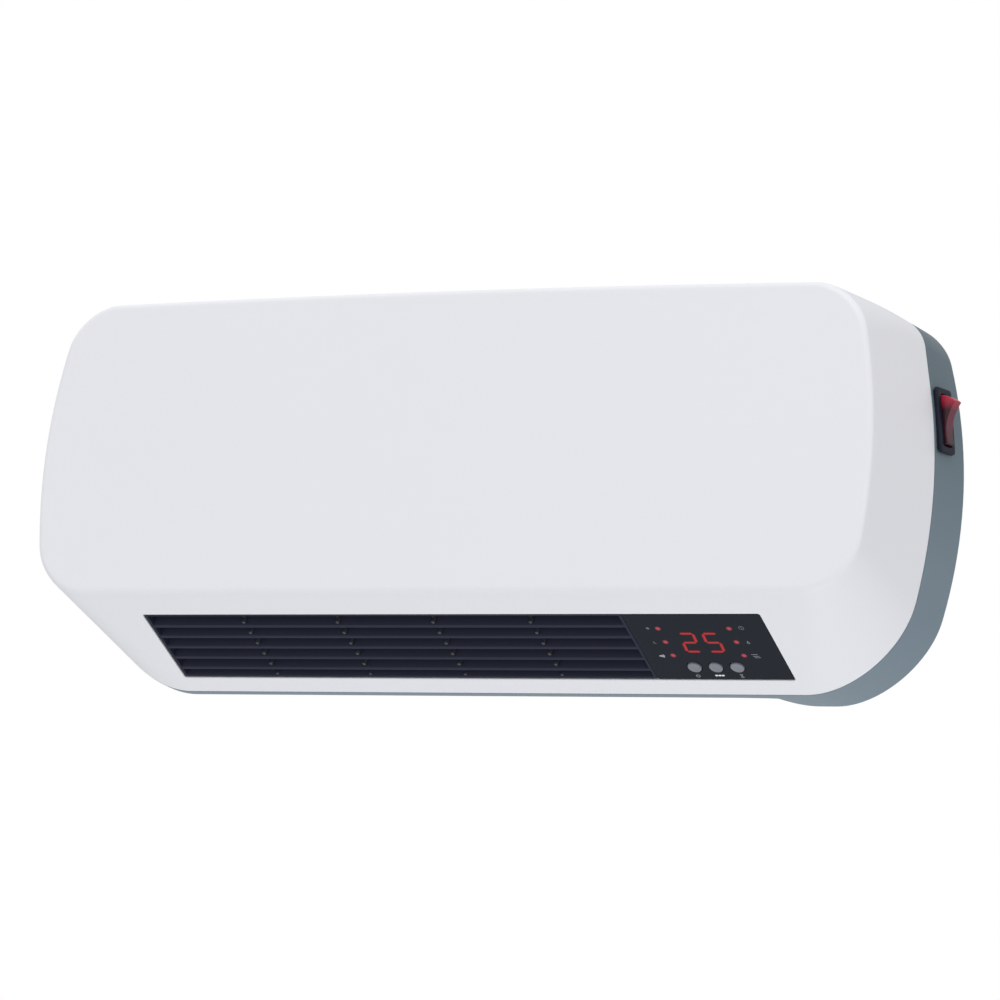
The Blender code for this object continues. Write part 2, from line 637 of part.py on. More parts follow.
def make_rear_housing(switch_frame: bpy.types.Object) -> None:
    """Teal tray against the wall: bracket pocket, screw tunnels, switch hole and cable entry."""
    tongue_end_y = JOINT_Y - TONGUE_LENGTH
    tongue_share = 1.0 - TONGUE_LENGTH / (JOINT_Y - (FRONT_TOP_Y + FRONT_BOTTOM_Y) / 2)
    tongue_out = WALL + TONGUE_CLEARANCE
    tongue_in = tongue_out + TONGUE_WALL
    tongue_ring = cover_ring(tongue_share, tongue_out)
    tongue_inner = cover_ring(tongue_share, tongue_in)
    for point in (*tongue_ring, *tongue_inner):
        point.y = tongue_end_y
    step_ys = [STEP_BACK_Y + (STEP_FRONT_Y - STEP_BACK_Y) * share for share in (0.0, 0.25, 0.5, 0.75, 1.0)]
    rings = [housing_ring(0.0, 0.0016), housing_ring(-0.0005, 0.0005), housing_ring(-0.0018, 0.0)]
    rings += [housing_ring(y, 0.0) for y in step_ys]
    rings += [housing_ring(HOUSING_RIM_Y, 0.0), housing_ring(HOUSING_RIM_Y, tongue_out), tongue_ring, tongue_inner]
    rings += [housing_ring(HOUSING_RIM_Y + 0.0010, tongue_in), housing_ring(HOUSING_RIM_Y + 0.0032, WALL)]
    rings += [housing_ring(y, WALL) for y in step_ys[::-1]]
    rings += [housing_ring(-WALL, WALL)]
    shell_data = bmesh.new()
    add_loft(shell_data, rings)
    housing = add_object("rear_housing", shell_data, "teal_housing", smooth=True)

    solids = bmesh.new()
    add_box(solids, (-POCKET_HALF_WIDTH - WALL, -POCKET_DEPTH - WALL, POCKET_BOTTOM - WALL),
            (POCKET_HALF_WIDTH + WALL, -WALL / 2, POCKET_TOP + WALL))
    for x, z in COVER_POST_XZ:
        add_rod(solids, (x, 0.0, z), "Y", TUNNEL_RADIUS, POST_END_Y + GAP, -WALL / 2, 14)
    for x in (foot_boss_x(-1), foot_boss_x(1)):
        for z in FOOT_BOSS_ZS:
            add_rod(solids, (x, 0.0, z), "Y", FOOT_BOSS_RADIUS, FOOT_BACK_Y + GAP, -WALL / 2, 12)
    for x, z in standoff_places():
        add_rod(solids, (x, 0.0, z), "Y", STANDOFF_RADIUS, POWER_BOARD_BACK_Y + GAP, -WALL / 2, 10)
    add_rod(solids, (CABLE_X, 0.0, CABLE_Z), "Y", CABLE_BOSS_RADIUS, -CABLE_RECESS_DEPTH - WALL, -WALL / 2, 18)
    combine(housing, add_object("housing_solids", solids, "teal_housing"), "UNION")

    cuts = bmesh.new()
    add_box(cuts, (-POCKET_HALF_WIDTH, -POCKET_DEPTH, POCKET_BOTTOM), (POCKET_HALF_WIDTH, 0.004, POCKET_TOP))
    for x, z in COVER_POST_XZ:
        add_turned(cuts, ((0.0, 0.004), (TUNNEL_BORE_RADIUS, 0.004), (TUNNEL_BORE_RADIUS, TUNNEL_SHOULDER_Y),
                          (POST_BORE_RADIUS, TUNNEL_SHOULDER_Y), (POST_BORE_RADIUS, POST_END_Y - 0.003),
                          (0.0, POST_END_Y - 0.003)), (x, 0.0, z), "Y", 12)
    for x in (foot_boss_x(-1), foot_boss_x(1)):
        for z in FOOT_BOSS_ZS:
            add_rod(cuts, (x, 0.0, z), "Y", SCREW_RADIUS + GAP, FOOT_BACK_Y - 0.003, -0.0035, 10)
    add_turned(cuts, ((0.0, 0.004), (CABLE_RECESS_RADIUS, 0.004), (CABLE_RECESS_RADIUS, -CABLE_RECESS_DEPTH),
                      (BUSH_RADIUS + GAP, -CABLE_RECESS_DEPTH), (BUSH_RADIUS + GAP, -0.012), (0.0, -0.012)),
               (CABLE_X, 0.0, CABLE_Z), "Y", 18)
    combine(housing, add_object("housing_cuts", cuts, "teal_housing"), "DIFFERENCE")

    slots = bmesh.new()
    for x in HOOK_XS:
        add_box(slots,
                (x - HOOK_WIDTH / 2 - 0.001, -POCKET_DEPTH - WALL - 0.003, HOOK_ARM_TOP - HOOK_RISE - 0.005),
                (x + HOOK_WIDTH / 2 + 0.001, -POCKET_DEPTH + 0.002, HOOK_ARM_TOP + GAP))
    combine(housing, add_object("hook_slots", slots, "teal_housing"), "DIFFERENCE")
    window = bmesh.new()
    add_box(window, (-0.012, -BARREL_WIDTH / 2 - GAP, -BARREL_LENGTH / 2 - GAP),
            (0.004, BARREL_WIDTH / 2 + GAP, BARREL_LENGTH / 2 + GAP))
    combine(housing, add_object("switch_window", window, "teal_housing", switch_frame), "DIFFERENCE")


def make_wall_bracket() -> None:
    """Steel strip screwed to the wall, with two hooks on which the housing hangs."""
    data = bmesh.new()
    add_box(data, (-BRACKET_HALF_WIDTH, -BRACKET_THICKNESS, BRACKET_BOTTOM),
            (BRACKET_HALF_WIDTH, 0.0, BRACKET_TOP))
    bracket = add_object("wall_bracket", data, "galvanised_steel")
    arm_bottom = HOOK_ARM_TOP - BRACKET_THICKNESS
    profile = ((-BRACKET_THICKNESS / 2, arm_bottom), (-BRACKET_THICKNESS / 2, HOOK_ARM_TOP),
               (HOOK_LIP_Y, HOOK_ARM_TOP), (HOOK_LIP_Y, HOOK_ARM_TOP + HOOK_RISE),
               (HOOK_LIP_Y - BRACKET_THICKNESS, HOOK_ARM_TOP + HOOK_RISE),
               (HOOK_LIP_Y - BRACKET_THICKNESS, arm_bottom))
    hooks = bmesh.new()
    for x in HOOK_XS:
        add_prism(hooks, profile, "X", x - HOOK_WIDTH / 2, x + HOOK_WIDTH / 2)
    combine(bracket, add_object("bracket_hooks", hooks, "galvanised_steel"), "UNION")
    holes = bmesh.new()
    for x in BRACKET_HOLE_XS:
        add_rod(holes, (x, 0.0, (BRACKET_BOTTOM + BRACKET_TOP) / 2), "Y", BRACKET_HOLE_RADIUS, -0.004, 0.004, 14)
    combine(bracket, add_object("bracket_holes", holes, "galvanised_steel"), "DIFFERENCE")


def make_cover_screws() -> None:
    """Four screws that come from the back through the housing's tunnels into the cover's posts."""
    seat_y = TUNNEL_SHOULDER_Y + GAP
    for index, (x, z) in enumerate(COVER_POST_XZ, start=1):
        data = bmesh.new()
        add_turned(data, ((0.0, seat_y + SCREW_HEAD_HEIGHT), (SCREW_HEAD_RADIUS * 0.7, seat_y + SCREW_HEAD_HEIGHT),
                          (SCREW_HEAD_RADIUS, seat_y + SCREW_HEAD_HEIGHT * 0.4), (SCREW_HEAD_RADIUS, seat_y),
                          (SCREW_RADIUS, seat_y), (SCREW_RADIUS, seat_y - SCREW_LENGTH),
                          (SCREW_RADIUS * 0.3, seat_y - SCREW_LENGTH - 0.002),
                          (0.0, seat_y - SCREW_LENGTH - 0.002)), (x, 0.0, z), "Y", 12)
        add_object(f"cover_screw_{index}", data, "steel", smooth=True)


def make_cable_bush() -> None:
    """Rubber bush in the back wall where the supply cable goes in, sunk so that it clears the wall."""
    outer = -CABLE_RECESS_DEPTH + GAP + BUSH_FLANGE_THICKNESS
    seat = -CABLE_RECESS_DEPTH + GAP
    inner = -CABLE_RECESS_DEPTH - WALL - GAP
    data = bmesh.new()
    add_turned(data, ((CABLE_BORE_RADIUS, outer), (BUSH_FLANGE_RADIUS, outer), (BUSH_FLANGE_RADIUS, seat),
                      (BUSH_RADIUS, seat), (BUSH_RADIUS, inner), (BUSH_FLANGE_RADIUS, inner),
                      (BUSH_FLANGE_RADIUS, inner - BUSH_FLANGE_THICKNESS),
                      (CABLE_BORE_RADIUS, inner - BUSH_FLANGE_THICKNESS)), (CABLE_X, 0.0, CABLE_Z), "Y", 18)
    add_object("cable_bush", data, "rubber", smooth=True)


# ------------------------------------------------------------------ underside pieces
def make_outlet_grille(underside: bpy.types.Object) -> None:
    """Frame with fine slats along the heater and ribs behind them."""
    left = OPENING_LEFT + GAP
    right = SPLIT_X - GAP / 2
    near = OPENING_NEAR + GAP
    far = OPENING_FAR - GAP
    frame = bmesh.new()
    add_box(frame, (left, near, SLAT_FRONT - 0.0002), (right, far, SLAT_BACK + 0.0004))
    grille = add_object("outlet_grille", frame, "navy_grille", underside)
    lip = bmesh.new()
    add_box(lip, (left - LIP_WIDTH, near - LIP_WIDTH, LIP_FRONT), (right - 0.0001, far + LIP_WIDTH, LIP_BACK))
    combine(grille, add_object("grille_lip", lip, "navy_grille", underside), "UNION")
    core = bmesh.new()
    edge = far - GRILLE_BORDER
    core_points = ((near + GRILLE_BORDER, -0.002), (edge, -0.002), (edge, SLAT_FRONT),
                   (edge - SLAT_SHIFT, SLAT_BACK), (edge - SLAT_SHIFT, 0.012), (near + GRILLE_BORDER, 0.012))
    add_loft(core, [[Vector((x, along, deep)) for along, deep in core_points]
                    for x in (left + GRILLE_BORDER, right - GRILLE_BORDER)])
    combine(grille, add_object("grille_core", core, "navy_grille", underside), "DIFFERENCE")
    slats = bmesh.new()
    half = SLAT_THICKNESS / 2 / math.cos(SLOPE_ANGLE)
    for index in range(SLAT_COUNT):
        v = SLAT_FIRST + SLAT_PITCH * index
        back = v - SLAT_SHIFT
        outline_points = ((v - half, SLAT_FRONT), (v + half, SLAT_FRONT), (back + half, SLAT_BACK),
                          (back - half, SLAT_BACK))
        add_loft(slats, [[Vector((x, along, deep)) for along, deep in outline_points]
                         for x in (left + 0.0008, right - 0.0008)])
    combine(grille, add_object("grille_slats", slats, "navy_grille", underside), "UNION")
    ribs = bmesh.new()
    for x in RIB_XS:
        add_box(ribs, (x - RIB_THICKNESS / 2, near + 0.0008, RIB_FRONT),
                (x + RIB_THICKNESS / 2, far - 0.0008, RIB_BACK))
    combine(grille, add_object("grille_ribs", ribs, "navy_grille", underside), "UNION")


def make_control_fascia(underside: bpy.types.Object) -> None:
    """Smoked panel beside the grille, with three button holes and posts for its board."""
    left = SPLIT_X + GAP / 2
    right = OPENING_RIGHT - GAP
    near = OPENING_NEAR + GAP
    far = OPENING_FAR - GAP
    plate = bmesh.new()
    add_box(plate, (left, near, FASCIA_FRONT), (right, far, FASCIA_BACK))
    fascia = add_object("control_fascia", plate, "smoked_fascia", underside)
    lip = bmesh.new()
    add_box(lip, (left + 0.0001, near - LIP_WIDTH, LIP_FRONT), (right + LIP_WIDTH, far + LIP_WIDTH, LIP_BACK))
    combine(fascia, add_object("fascia_lip", lip, "smoked_fascia", underside), "UNION")
    hollow = bmesh.new()
    add_box(hollow, (left + 0.004, near + 0.002, FASCIA_BACK), (right - 0.002, far - 0.002, 0.006))
    combine(fascia, add_object("fascia_hollow", hollow, "smoked_fascia", underside), "DIFFERENCE")
    posts = bmesh.new()
    for x, v in BOARD_POSTS:
        add_rod(posts, (x, v, 0.0), "Z", BOARD_POST_RADIUS, FASCIA_BACK - OVERLAP, BOARD_FRONT - GAP, 10)
    combine(fascia, add_object("fascia_posts", posts, "smoked_fascia", underside), "UNION")
    holes = bmesh.new()
    for x in BUTTON_XS:
        add_rod(holes, (x, BUTTON_V, 0.0), "Z", BUTTON_HOLE_RADIUS, -0.002, 0.006, 20)
    for x, v in BOARD_POSTS:
        add_rod(holes, (x, v, 0.0), "Z", BOARD_POST_BORE, BOARD_FRONT - BOARD_SCREW_LENGTH, BOARD_FRONT + 0.002, 8)
    combine(fascia, add_object("fascia_holes", holes, "smoked_fascia", underside), "DIFFERENCE")


def make_buttons(underside: bpy.types.Object) -> None:
    """Three push buttons, each on its own axis, with the switch that it presses."""
    flange_front = FASCIA_BACK + GAP
    flange_back = flange_front + BUTTON_FLANGE_THICKNESS
    front = FASCIA_FRONT - BUTTON_PROUD
    half = TACT_SIZE / 2
    for name, x in zip(BUTTON_NAMES, BUTTON_XS):
        axis = add_empty(f"button_axis_{name}", Matrix.Translation((x, BUTTON_V, 0.0)), underside)
        cap = bmesh.new()
        add_turned(cap, ((0.0, front), (BUTTON_RADIUS - BUTTON_EDGE, front), (BUTTON_RADIUS, front + BUTTON_EDGE),
                         (BUTTON_RADIUS, flange_front), (BUTTON_FLANGE_RADIUS, flange_front),
                         (BUTTON_FLANGE_RADIUS, flange_back), (BUTTON_STEM_RADIUS, flange_back),
                         (BUTTON_STEM_RADIUS, BUTTON_STEM_END), (0.0, BUTTON_STEM_END)), (0, 0, 0), "Z", 20)
        add_object(f"button_{name}", cap, "button_grey", axis, smooth=True)
        body = bmesh.new()
        add_box(body, (x - half, BUTTON_V - half, TACT_FRONT), (x + half, BUTTON_V + half, BOARD_FRONT - GAP))
        switch = add_object(f"push_switch_{name}", body, "black_plastic", underside)
        plunger = bmesh.new()
        add_rod(plunger, (x, BUTTON_V, 0.0), "Z", TACT_PLUNGER_RADIUS, TACT_PLUNGER_TIP, TACT_FRONT + 0.0005, 10)
        combine(switch, add_object(f"push_plunger_{name}", plunger, "black_plastic", underside), "UNION")


def make_indicators(underside: bpy.types.Object) -> None:
    """Two columns of three lamps, the two-digit display and the remote-control receiver."""
    for side, x in zip(LED_SIDES, LED_XS):
        for row, v in zip(LED_ROWS, LED_VS):
            data = bmesh.new()
            add_turned(data, ((0.0, PARTS_FACE), (LED_RADIUS * 0.7, PARTS_FACE), (LED_RADIUS, PARTS_FACE + 0.0006),
                              (LED_RADIUS, BOARD_FRONT - GAP), (0.0, BOARD_FRONT - GAP)), (x, v, 0.0), "Z", 10)
            add_object(f"lamp_{side}_{row}", data, "red_lens", underside, smooth=True)
    half_x = DISPLAY_SIZE[0] / 2
    half_v = DISPLAY_SIZE[1] / 2
    x, v = DISPLAY_CENTRE
    block = bmesh.new()
    add_box(block, (x - half_x, v - half_v, PARTS_FACE), (x + half_x, v + half_v, BOARD_FRONT - GAP))
    add_object("display_module", block, "black_plastic", underside)
    receiver = bmesh.new()
    left, near = RECEIVER_LEFT_NEAR
    add_box(receiver, (left, near, RECEIVER_FRONT),
            (left + RECEIVER_SIZE, near + RECEIVER_SIZE, BOARD_FRONT - GAP))
    add_object("remote_receiver", receiver, "black_plastic", underside)


def make_control_board(underside: bpy.types.Object) -> None:
    """Board behind the fascia, and the two screws that hold it."""
    board_back = BOARD_FRONT + BOARD_THICKNESS
    data = bmesh.new()
    add_box(data, (*BOARD_LEFT_NEAR, BOARD_FRONT), (*BOARD_RIGHT_FAR, board_back))
    board = add_object("control_board", data, "circuit_board", underside)
    holes = bmesh.new()
    for x, v in BOARD_POSTS:
        add_rod(holes, (x, v, 0.0), "Z", BOARD_SCREW_RADIUS + GAP, BOARD_FRONT - 0.002, board_back + 0.002, 10)
    combine(board, add_object("board_holes", holes, "circuit_board", underside), "DIFFERENCE")
    head = board_back + GAP
    tip = head - BOARD_SCREW_LENGTH
    for index, (x, v) in enumerate(BOARD_POSTS, start=1):
        screw = bmesh.new()
        add_turned(screw, ((0.0, head + 0.0014), (0.0014, head + 0.0014), (0.0020, head + 0.0006), (0.0020, head),
                           (BOARD_SCREW_RADIUS, head), (BOARD_SCREW_RADIUS, tip), (0.0, tip)),
                   (x, v, 0.0), "Z", 10)
        add_object(f"board_screw_{index}", screw, "steel", underside, smooth=True)


# ------------------------------------------------------------------ air path
def fan_matrix() -> Matrix:
    return Matrix.Translation((0.0, FAN_Y, FAN_Z))


def make_fan(fan_axis: bpy.types.Object) -> None:
    """Cross-flow impeller with its two stub shafts, all turning about the fan's axis."""
    blades = bmesh.new()
    for index in range(BLADE_COUNT):
        add_prism(blades, blade_outline(math.tau * index / BLADE_COUNT), "X",
                  FAN_LEFT + DISC_THICKNESS / 2, FAN_RIGHT - DISC_THICKNESS / 2)
    blade_object = add_object("impeller_blades", blades, "black_plastic", fan_axis)
    discs = bmesh.new()
    last = DISC_COUNT - 1
    span = FAN_RIGHT - FAN_LEFT - DISC_THICKNESS
    rim = FAN_RADIUS + 0.0004
    for index in range(DISC_COUNT):
        start = FAN_LEFT + span * index / last
        end = start + DISC_THICKNESS
        inner = DISC_HOLE_RADIUS
        if index in (0, last):
            inner = SHAFT_RADIUS + GAP
        profile = [(inner, start), (rim, start), (rim, end), (inner, end)]
        if index == 0:
            profile = [(inner, start), (rim, start), (rim, end), (HUB_RADIUS, end),
                       (HUB_RADIUS, end + HUB_LENGTH), (inner, end + HUB_LENGTH)]
        if index == last:
            profile = [(inner, start - HUB_LENGTH), (HUB_RADIUS, start - HUB_LENGTH), (HUB_RADIUS, start),
                       (rim, start), (rim, end), (inner, end)]
        add_turned(discs, profile, (0, 0, 0), "X", 20)
    impeller = add_object("fan_impeller", discs, "black_plastic", fan_axis, smooth=True)
    combine(impeller, blade_object, "UNION")

    motor_shaft = bmesh.new()
    add_rod(motor_shaft, (0, 0, 0), "X", SHAFT_RADIUS, motor_left() + 0.006, FAN_LEFT + HUB_LENGTH, 14)
    add_object("motor_shaft", motor_shaft, "steel", fan_axis, smooth=True)
    stub = bmesh.new()
    add_rod(stub, (0, 0, 0), "X", SHAFT_RADIUS, FAN_RIGHT - HUB_LENGTH,
            DUCT_RIGHT + PLATE_THICKNESS + STUB_PAST_PLATE, 14)
    add_object("fan_stub_shaft", stub, "steel", fan_axis, smooth=True)
    rotor = bmesh.new()
    rotor_left = motor_left() + ROTOR_START
    bore = SHAFT_RADIUS + GAP
    rotor_right = rotor_left + ROTOR_LENGTH
    add_turned(rotor, ((bore, rotor_left), (ROTOR_RADIUS, rotor_left), (ROTOR_RADIUS, rotor_right),
                       (bore, rotor_right)), (0, 0, 0), "X", 18)
    add_object("motor_rotor", rotor, "galvanised_steel", fan_axis, smooth=True)


def blade_outline(turn: float) -> list[tuple[float, float]]:
    """One forward-curved blade between the inner and outer radius, in two straight runs."""
    stations = ((BLADE_INNER_RADIUS, 0.0), ((BLADE_INNER_RADIUS + FAN_RADIUS) / 2, BLADE_SWEEP * 0.35),
                (FAN_RADIUS, BLADE_SWEEP))
    leading = []
    trailing = []
    for radius, sweep in stations:
        half = BLADE_THICKNESS / 2 / radius
        leading.append((radius * math.cos(turn + sweep + half), radius * math.sin(turn + sweep + half)))
        trailing.append((radius * math.cos(turn + sweep - half), radius * math.sin(turn + sweep - half)))
    return leading + trailing[::-1]


def motor_left() -> float:
    return DUCT_LEFT - PLATE_THICKNESS - GAP - MOTOR_LENGTH


def make_motor() -> None:
    """Motor on the left end plate: can, end cap and stator.  Its rotor turns with the fan."""
    left = motor_left()
    right = left + MOTOR_LENGTH
    centre = (0.0, FAN_Y, FAN_Z)
    seam = right - MOTOR_CAP_THICKNESS
    inner = MOTOR_RADIUS - MOTOR_SHELL
    can = bmesh.new()
    add_turned(can, ((0.0, left), (MOTOR_RADIUS - 0.002, left), (MOTOR_RADIUS, left + 0.002),
                     (MOTOR_RADIUS, seam), (inner, seam), (inner, left + MOTOR_SHELL),
                     (0.0, left + MOTOR_SHELL)), centre, "X", 24)
    add_object("motor_can", can, "galvanised_steel", smooth=True)
    cap = bmesh.new()
    bore = SHAFT_RADIUS + 0.0005
    add_turned(cap, ((bore, seam + GAP), (MOTOR_RADIUS, seam + GAP), (MOTOR_RADIUS, right),
                     (bore, right)), centre, "X", 24)
    add_object("motor_end_cap", cap, "galvanised_steel", smooth=True)
    stator = bmesh.new()
    start = left + STATOR_START
    end = left + STATOR_END
    add_turned(stator, ((STATOR_INNER_RADIUS, start), (inner - GAP, start), (inner - GAP, end),
                        (STATOR_INNER_RADIUS, end)), centre, "X", 24)
    add_object("motor_stator", stator, "copper_winding", smooth=True)


def make_bearing() -> None:
    """Bush and rubber ring that carry the right end of the fan."""
    start = DUCT_RIGHT - 0.0008
    end = DUCT_RIGHT + PLATE_THICKNESS + BEARING_PAST_PLATE
    ring_bore = BUSH_OUTER_RADIUS + GAP
    centre = (0.0, FAN_Y, FAN_Z)
    bush = bmesh.new()
    add_turned(bush, ((SHAFT_RADIUS + GAP, start), (BUSH_OUTER_RADIUS, start), (BUSH_OUTER_RADIUS, end),
                      (SHAFT_RADIUS + GAP, end)), centre, "X", 16)
    add_object("bearing_bush", bush, "brass", smooth=True)
    ring = bmesh.new()
    add_turned(ring, ((ring_bore, start), (RING_RADIUS, start), (RING_RADIUS, end), (ring_bore, end)),
               centre, "X", 18)
    add_object("bearing_ring", ring, "rubber", smooth=True)


def foot_boss_x(side: int) -> float:
    """Where the screw bosses under an end plate's foot stand: side -1 is the left plate, 1 the right."""
    if side < 0:
        return DUCT_LEFT - PLATE_THICKNESS - FOOT_WIDTH / 2
    return DUCT_RIGHT + PLATE_THICKNESS + FOOT_WIDTH / 2


def make_end_plates() -> None:
    """Two sheet plates that close the ends of the duct and stand on the housing's bosses."""
    slope = Vector((math.cos(SLOPE_ANGLE), -math.sin(SLOPE_ANGLE)))
    inward = Vector((math.sin(SLOPE_ANGLE), math.cos(SLOPE_ANGLE)))
    start = Vector((FRONT_BOTTOM_Y, FRONT_EDGE.bottom))
    front_foot = start + slope * 0.0140 + inward * 0.0100
    rear_foot = start + slope * 0.0660 + inward * 0.0100
    back = FOOT_BACK_Y - 0.0002
    profile = [tuple(front_foot), tuple(rear_foot), (-0.0290, PLATE_FOOT_EDGE), (back, PLATE_FOOT_EDGE),
               (back, -0.0020), *PLATE_BACK]
    for name, side, inner, hole_radius in (("left_end_plate", -1, DUCT_LEFT, PLATE_MOTOR_HOLE),
                                           ("right_end_plate", 1, DUCT_RIGHT, PLATE_BEARING_HOLE)):
        outer = inner + side * PLATE_THICKNESS
        sheet = bmesh.new()
        add_prism(sheet, profile, "X", inner, outer)
        plate = add_object(name, sheet, "galvanised_steel")
        foot = bmesh.new()
        reach = outer + side * FOOT_WIDTH
        foot_low = min(reach, inner + side * 0.0004)
        foot_high = max(reach, inner + side * 0.0004)
        add_box(foot, (foot_low, FOOT_BACK_Y - PLATE_THICKNESS, FOOT_BOTTOM),
                (foot_high, FOOT_BACK_Y - 0.0001, FOOT_TOP))
        combine(plate, add_object(f"{name}_foot", foot, "galvanised_steel"), "UNION")
        cuts = bmesh.new()
        add_rod(cuts, (0.0, FAN_Y, FAN_Z), "X", hole_radius, inner - 0.004, inner + 0.004, 18)
        for z in FOOT_BOSS_ZS:
            add_rod(cuts, (foot_boss_x(side), 0.0, z), "Y", SCREW_RADIUS + GAP, FOOT_BACK_Y - 0.005,
                    FOOT_BACK_Y + 0.003, 10)
        combine(plate, add_object(f"{name}_cuts", cuts, "galvanised_steel"), "DIFFERENCE")


def thicken(path, thickness: float) -> list[tuple[float, float]]:
    """Give an open 2-D path a thickness to its left, with mitred corners."""
    points = [Vector(point) for point in path]
    offset = []
    for index, point in enumerate(points):
        before = points[max(index - 1, 0)]
        after = points[min(index + 1, len(points) - 1)]
        along = (after - before).normalized()
        offset.append(point + Vector((-along.y, along.x)) * thickness)
    return [tuple(point) for point in points] + [tuple(point) for point in offset[::-1]]


def make_duct_walls() -> None:
    """Rear scroll round the fan, and the deflector that closes the front of the duct."""
    path = []
    for index in range(SCROLL_STEPS + 1):
        share = index / SCROLL_STEPS
        angle = SCROLL_START + (SCROLL_END - SCROLL_START) * share
        radius = SCROLL_RADIUS_START + (SCROLL_RADIUS_END - SCROLL_RADIUS_START) * share
        path.append((FAN_Y + radius * math.cos(angle), FAN_Z + radius * math.sin(angle)))
    path += [DUCT_REAR_BEND, DUCT_REAR_FOOT]
    scroll = bmesh.new()
    add_prism(scroll, thicken(path, DUCT_WALL), "X", DUCT_LEFT + GAP, DUCT_RIGHT - GAP)
    add_object("rear_scroll", scroll, "galvanised_steel", smooth=True)
    front_path = [DUCT_FRONT_FOOT, DUCT_FRONT_BEND, TONGUE_NEAR_FAN, TONGUE_TOP]
    deflector = bmesh.new()
    add_prism(deflector, thicken(front_path, DUCT_WALL), "X", DUCT_LEFT + GAP, DUCT_RIGHT - GAP)
    add_object("front_deflector", deflector, "galvanised_steel", smooth=True)


def comb_outline() -> list[tuple[float, float]]:
    """Side view of a heating element: a core with fins standing up and down from it."""
    core_top = (ELEMENT_TOP + ELEMENT_BOTTOM + ELEMENT_CORE) / 2
    core_bottom = core_top - ELEMENT_CORE
    count = round((ELEMENT_RIGHT - ELEMENT_LEFT) / FIN_PITCH)
    pitch = (ELEMENT_RIGHT - ELEMENT_LEFT - FIN_THICKNESS) / count
    upper = []
    lower = []
    for index in range(count + 1):
        x = ELEMENT_LEFT + pitch * index
        upper += [(x, core_top), (x, ELEMENT_TOP), (x + FIN_THICKNESS, ELEMENT_TOP), (x + FIN_THICKNESS, core_top)]
        lower += [(x, core_bottom), (x, ELEMENT_BOTTOM), (x + FIN_THICKNESS, ELEMENT_BOTTOM),
                  (x + FIN_THICKNESS, core_bottom)]
    return upper[1:-1] + lower[::-1][1:-1]


def make_heating_elements() -> None:
    """Two finned elements across the duct, and the holders at their ends."""
    for name, y in zip(("front", "rear"), ELEMENT_YS):
        data = bmesh.new()
        add_prism(data, comb_outline(), "Y", y - ELEMENT_WIDTH / 2, y + ELEMENT_WIDTH / 2)
        add_object(f"heating_element_{name}", data, "aluminium")
    low_y = ELEMENT_YS[0] - ELEMENT_WIDTH / 2
    high_y = ELEMENT_YS[1] + ELEMENT_WIDTH / 2
    for name, start, end in (("left", DUCT_LEFT + GAP, ELEMENT_LEFT - GAP),
                             ("right", ELEMENT_RIGHT + GAP, DUCT_RIGHT - GAP)):
        holder = bmesh.new()
        add_box(holder, (start, low_y, ELEMENT_BOTTOM - 0.0015), (end, high_y, ELEMENT_TOP + 0.0015))
        add_object(f"element_holder_{name}", holder, "cream_plastic")


def make_safety_devices() -> None:
    """Thermal cut-out and thermal fuse on the outside of the duct's rear wall."""
    wall_y = DUCT_REAR_FOOT[0] + DUCT_WALL + 0.0010
    cutout = bmesh.new()
    x, z = CUTOUT_XZ
    shoulder = wall_y + CUTOUT_FLANGE_THICKNESS
    back = wall_y + CUTOUT_HEIGHT
    add_turned(cutout, ((0.0, wall_y), (CUTOUT_FLANGE_RADIUS, wall_y), (CUTOUT_FLANGE_RADIUS, shoulder),
                        (CUTOUT_RADIUS, shoulder), (CUTOUT_RADIUS, back), (0.0, back)), (x, 0.0, z), "Y", 18)
    add_object("thermal_cutout", cutout, "black_plastic", smooth=True)
    fuse = bmesh.new()
    add_rod(fuse, (0.0, wall_y + FUSE_RADIUS + 0.0002, z), "X", FUSE_RADIUS, FUSE_START_X, FUSE_END_X, 10)
    add_object("thermal_fuse", fuse, "steel", smooth=True)


# ------------------------------------------------------------------ switch and power electronics
def switch_matrix() -> Matrix:
    """Frame on the housing's right side: x out of the wall, y to the rear, z up along the wall."""
    step = 0.001
    centre = side_surface(SWITCH_Y, SWITCH_Z)
    up = (side_surface(SWITCH_Y, SWITCH_Z + step) - side_surface(SWITCH_Y, SWITCH_Z - step)).normalized()
    back = (side_surface(SWITCH_Y + step, SWITCH_Z) - side_surface(SWITCH_Y - step, SWITCH_Z)).normalized()
    out = back.cross(up).normalized()
    back = up.cross(out).normalized()
    turn = Matrix((out, back, up)).transposed().to_4x4()
    return Matrix.Translation(centre) @ turn


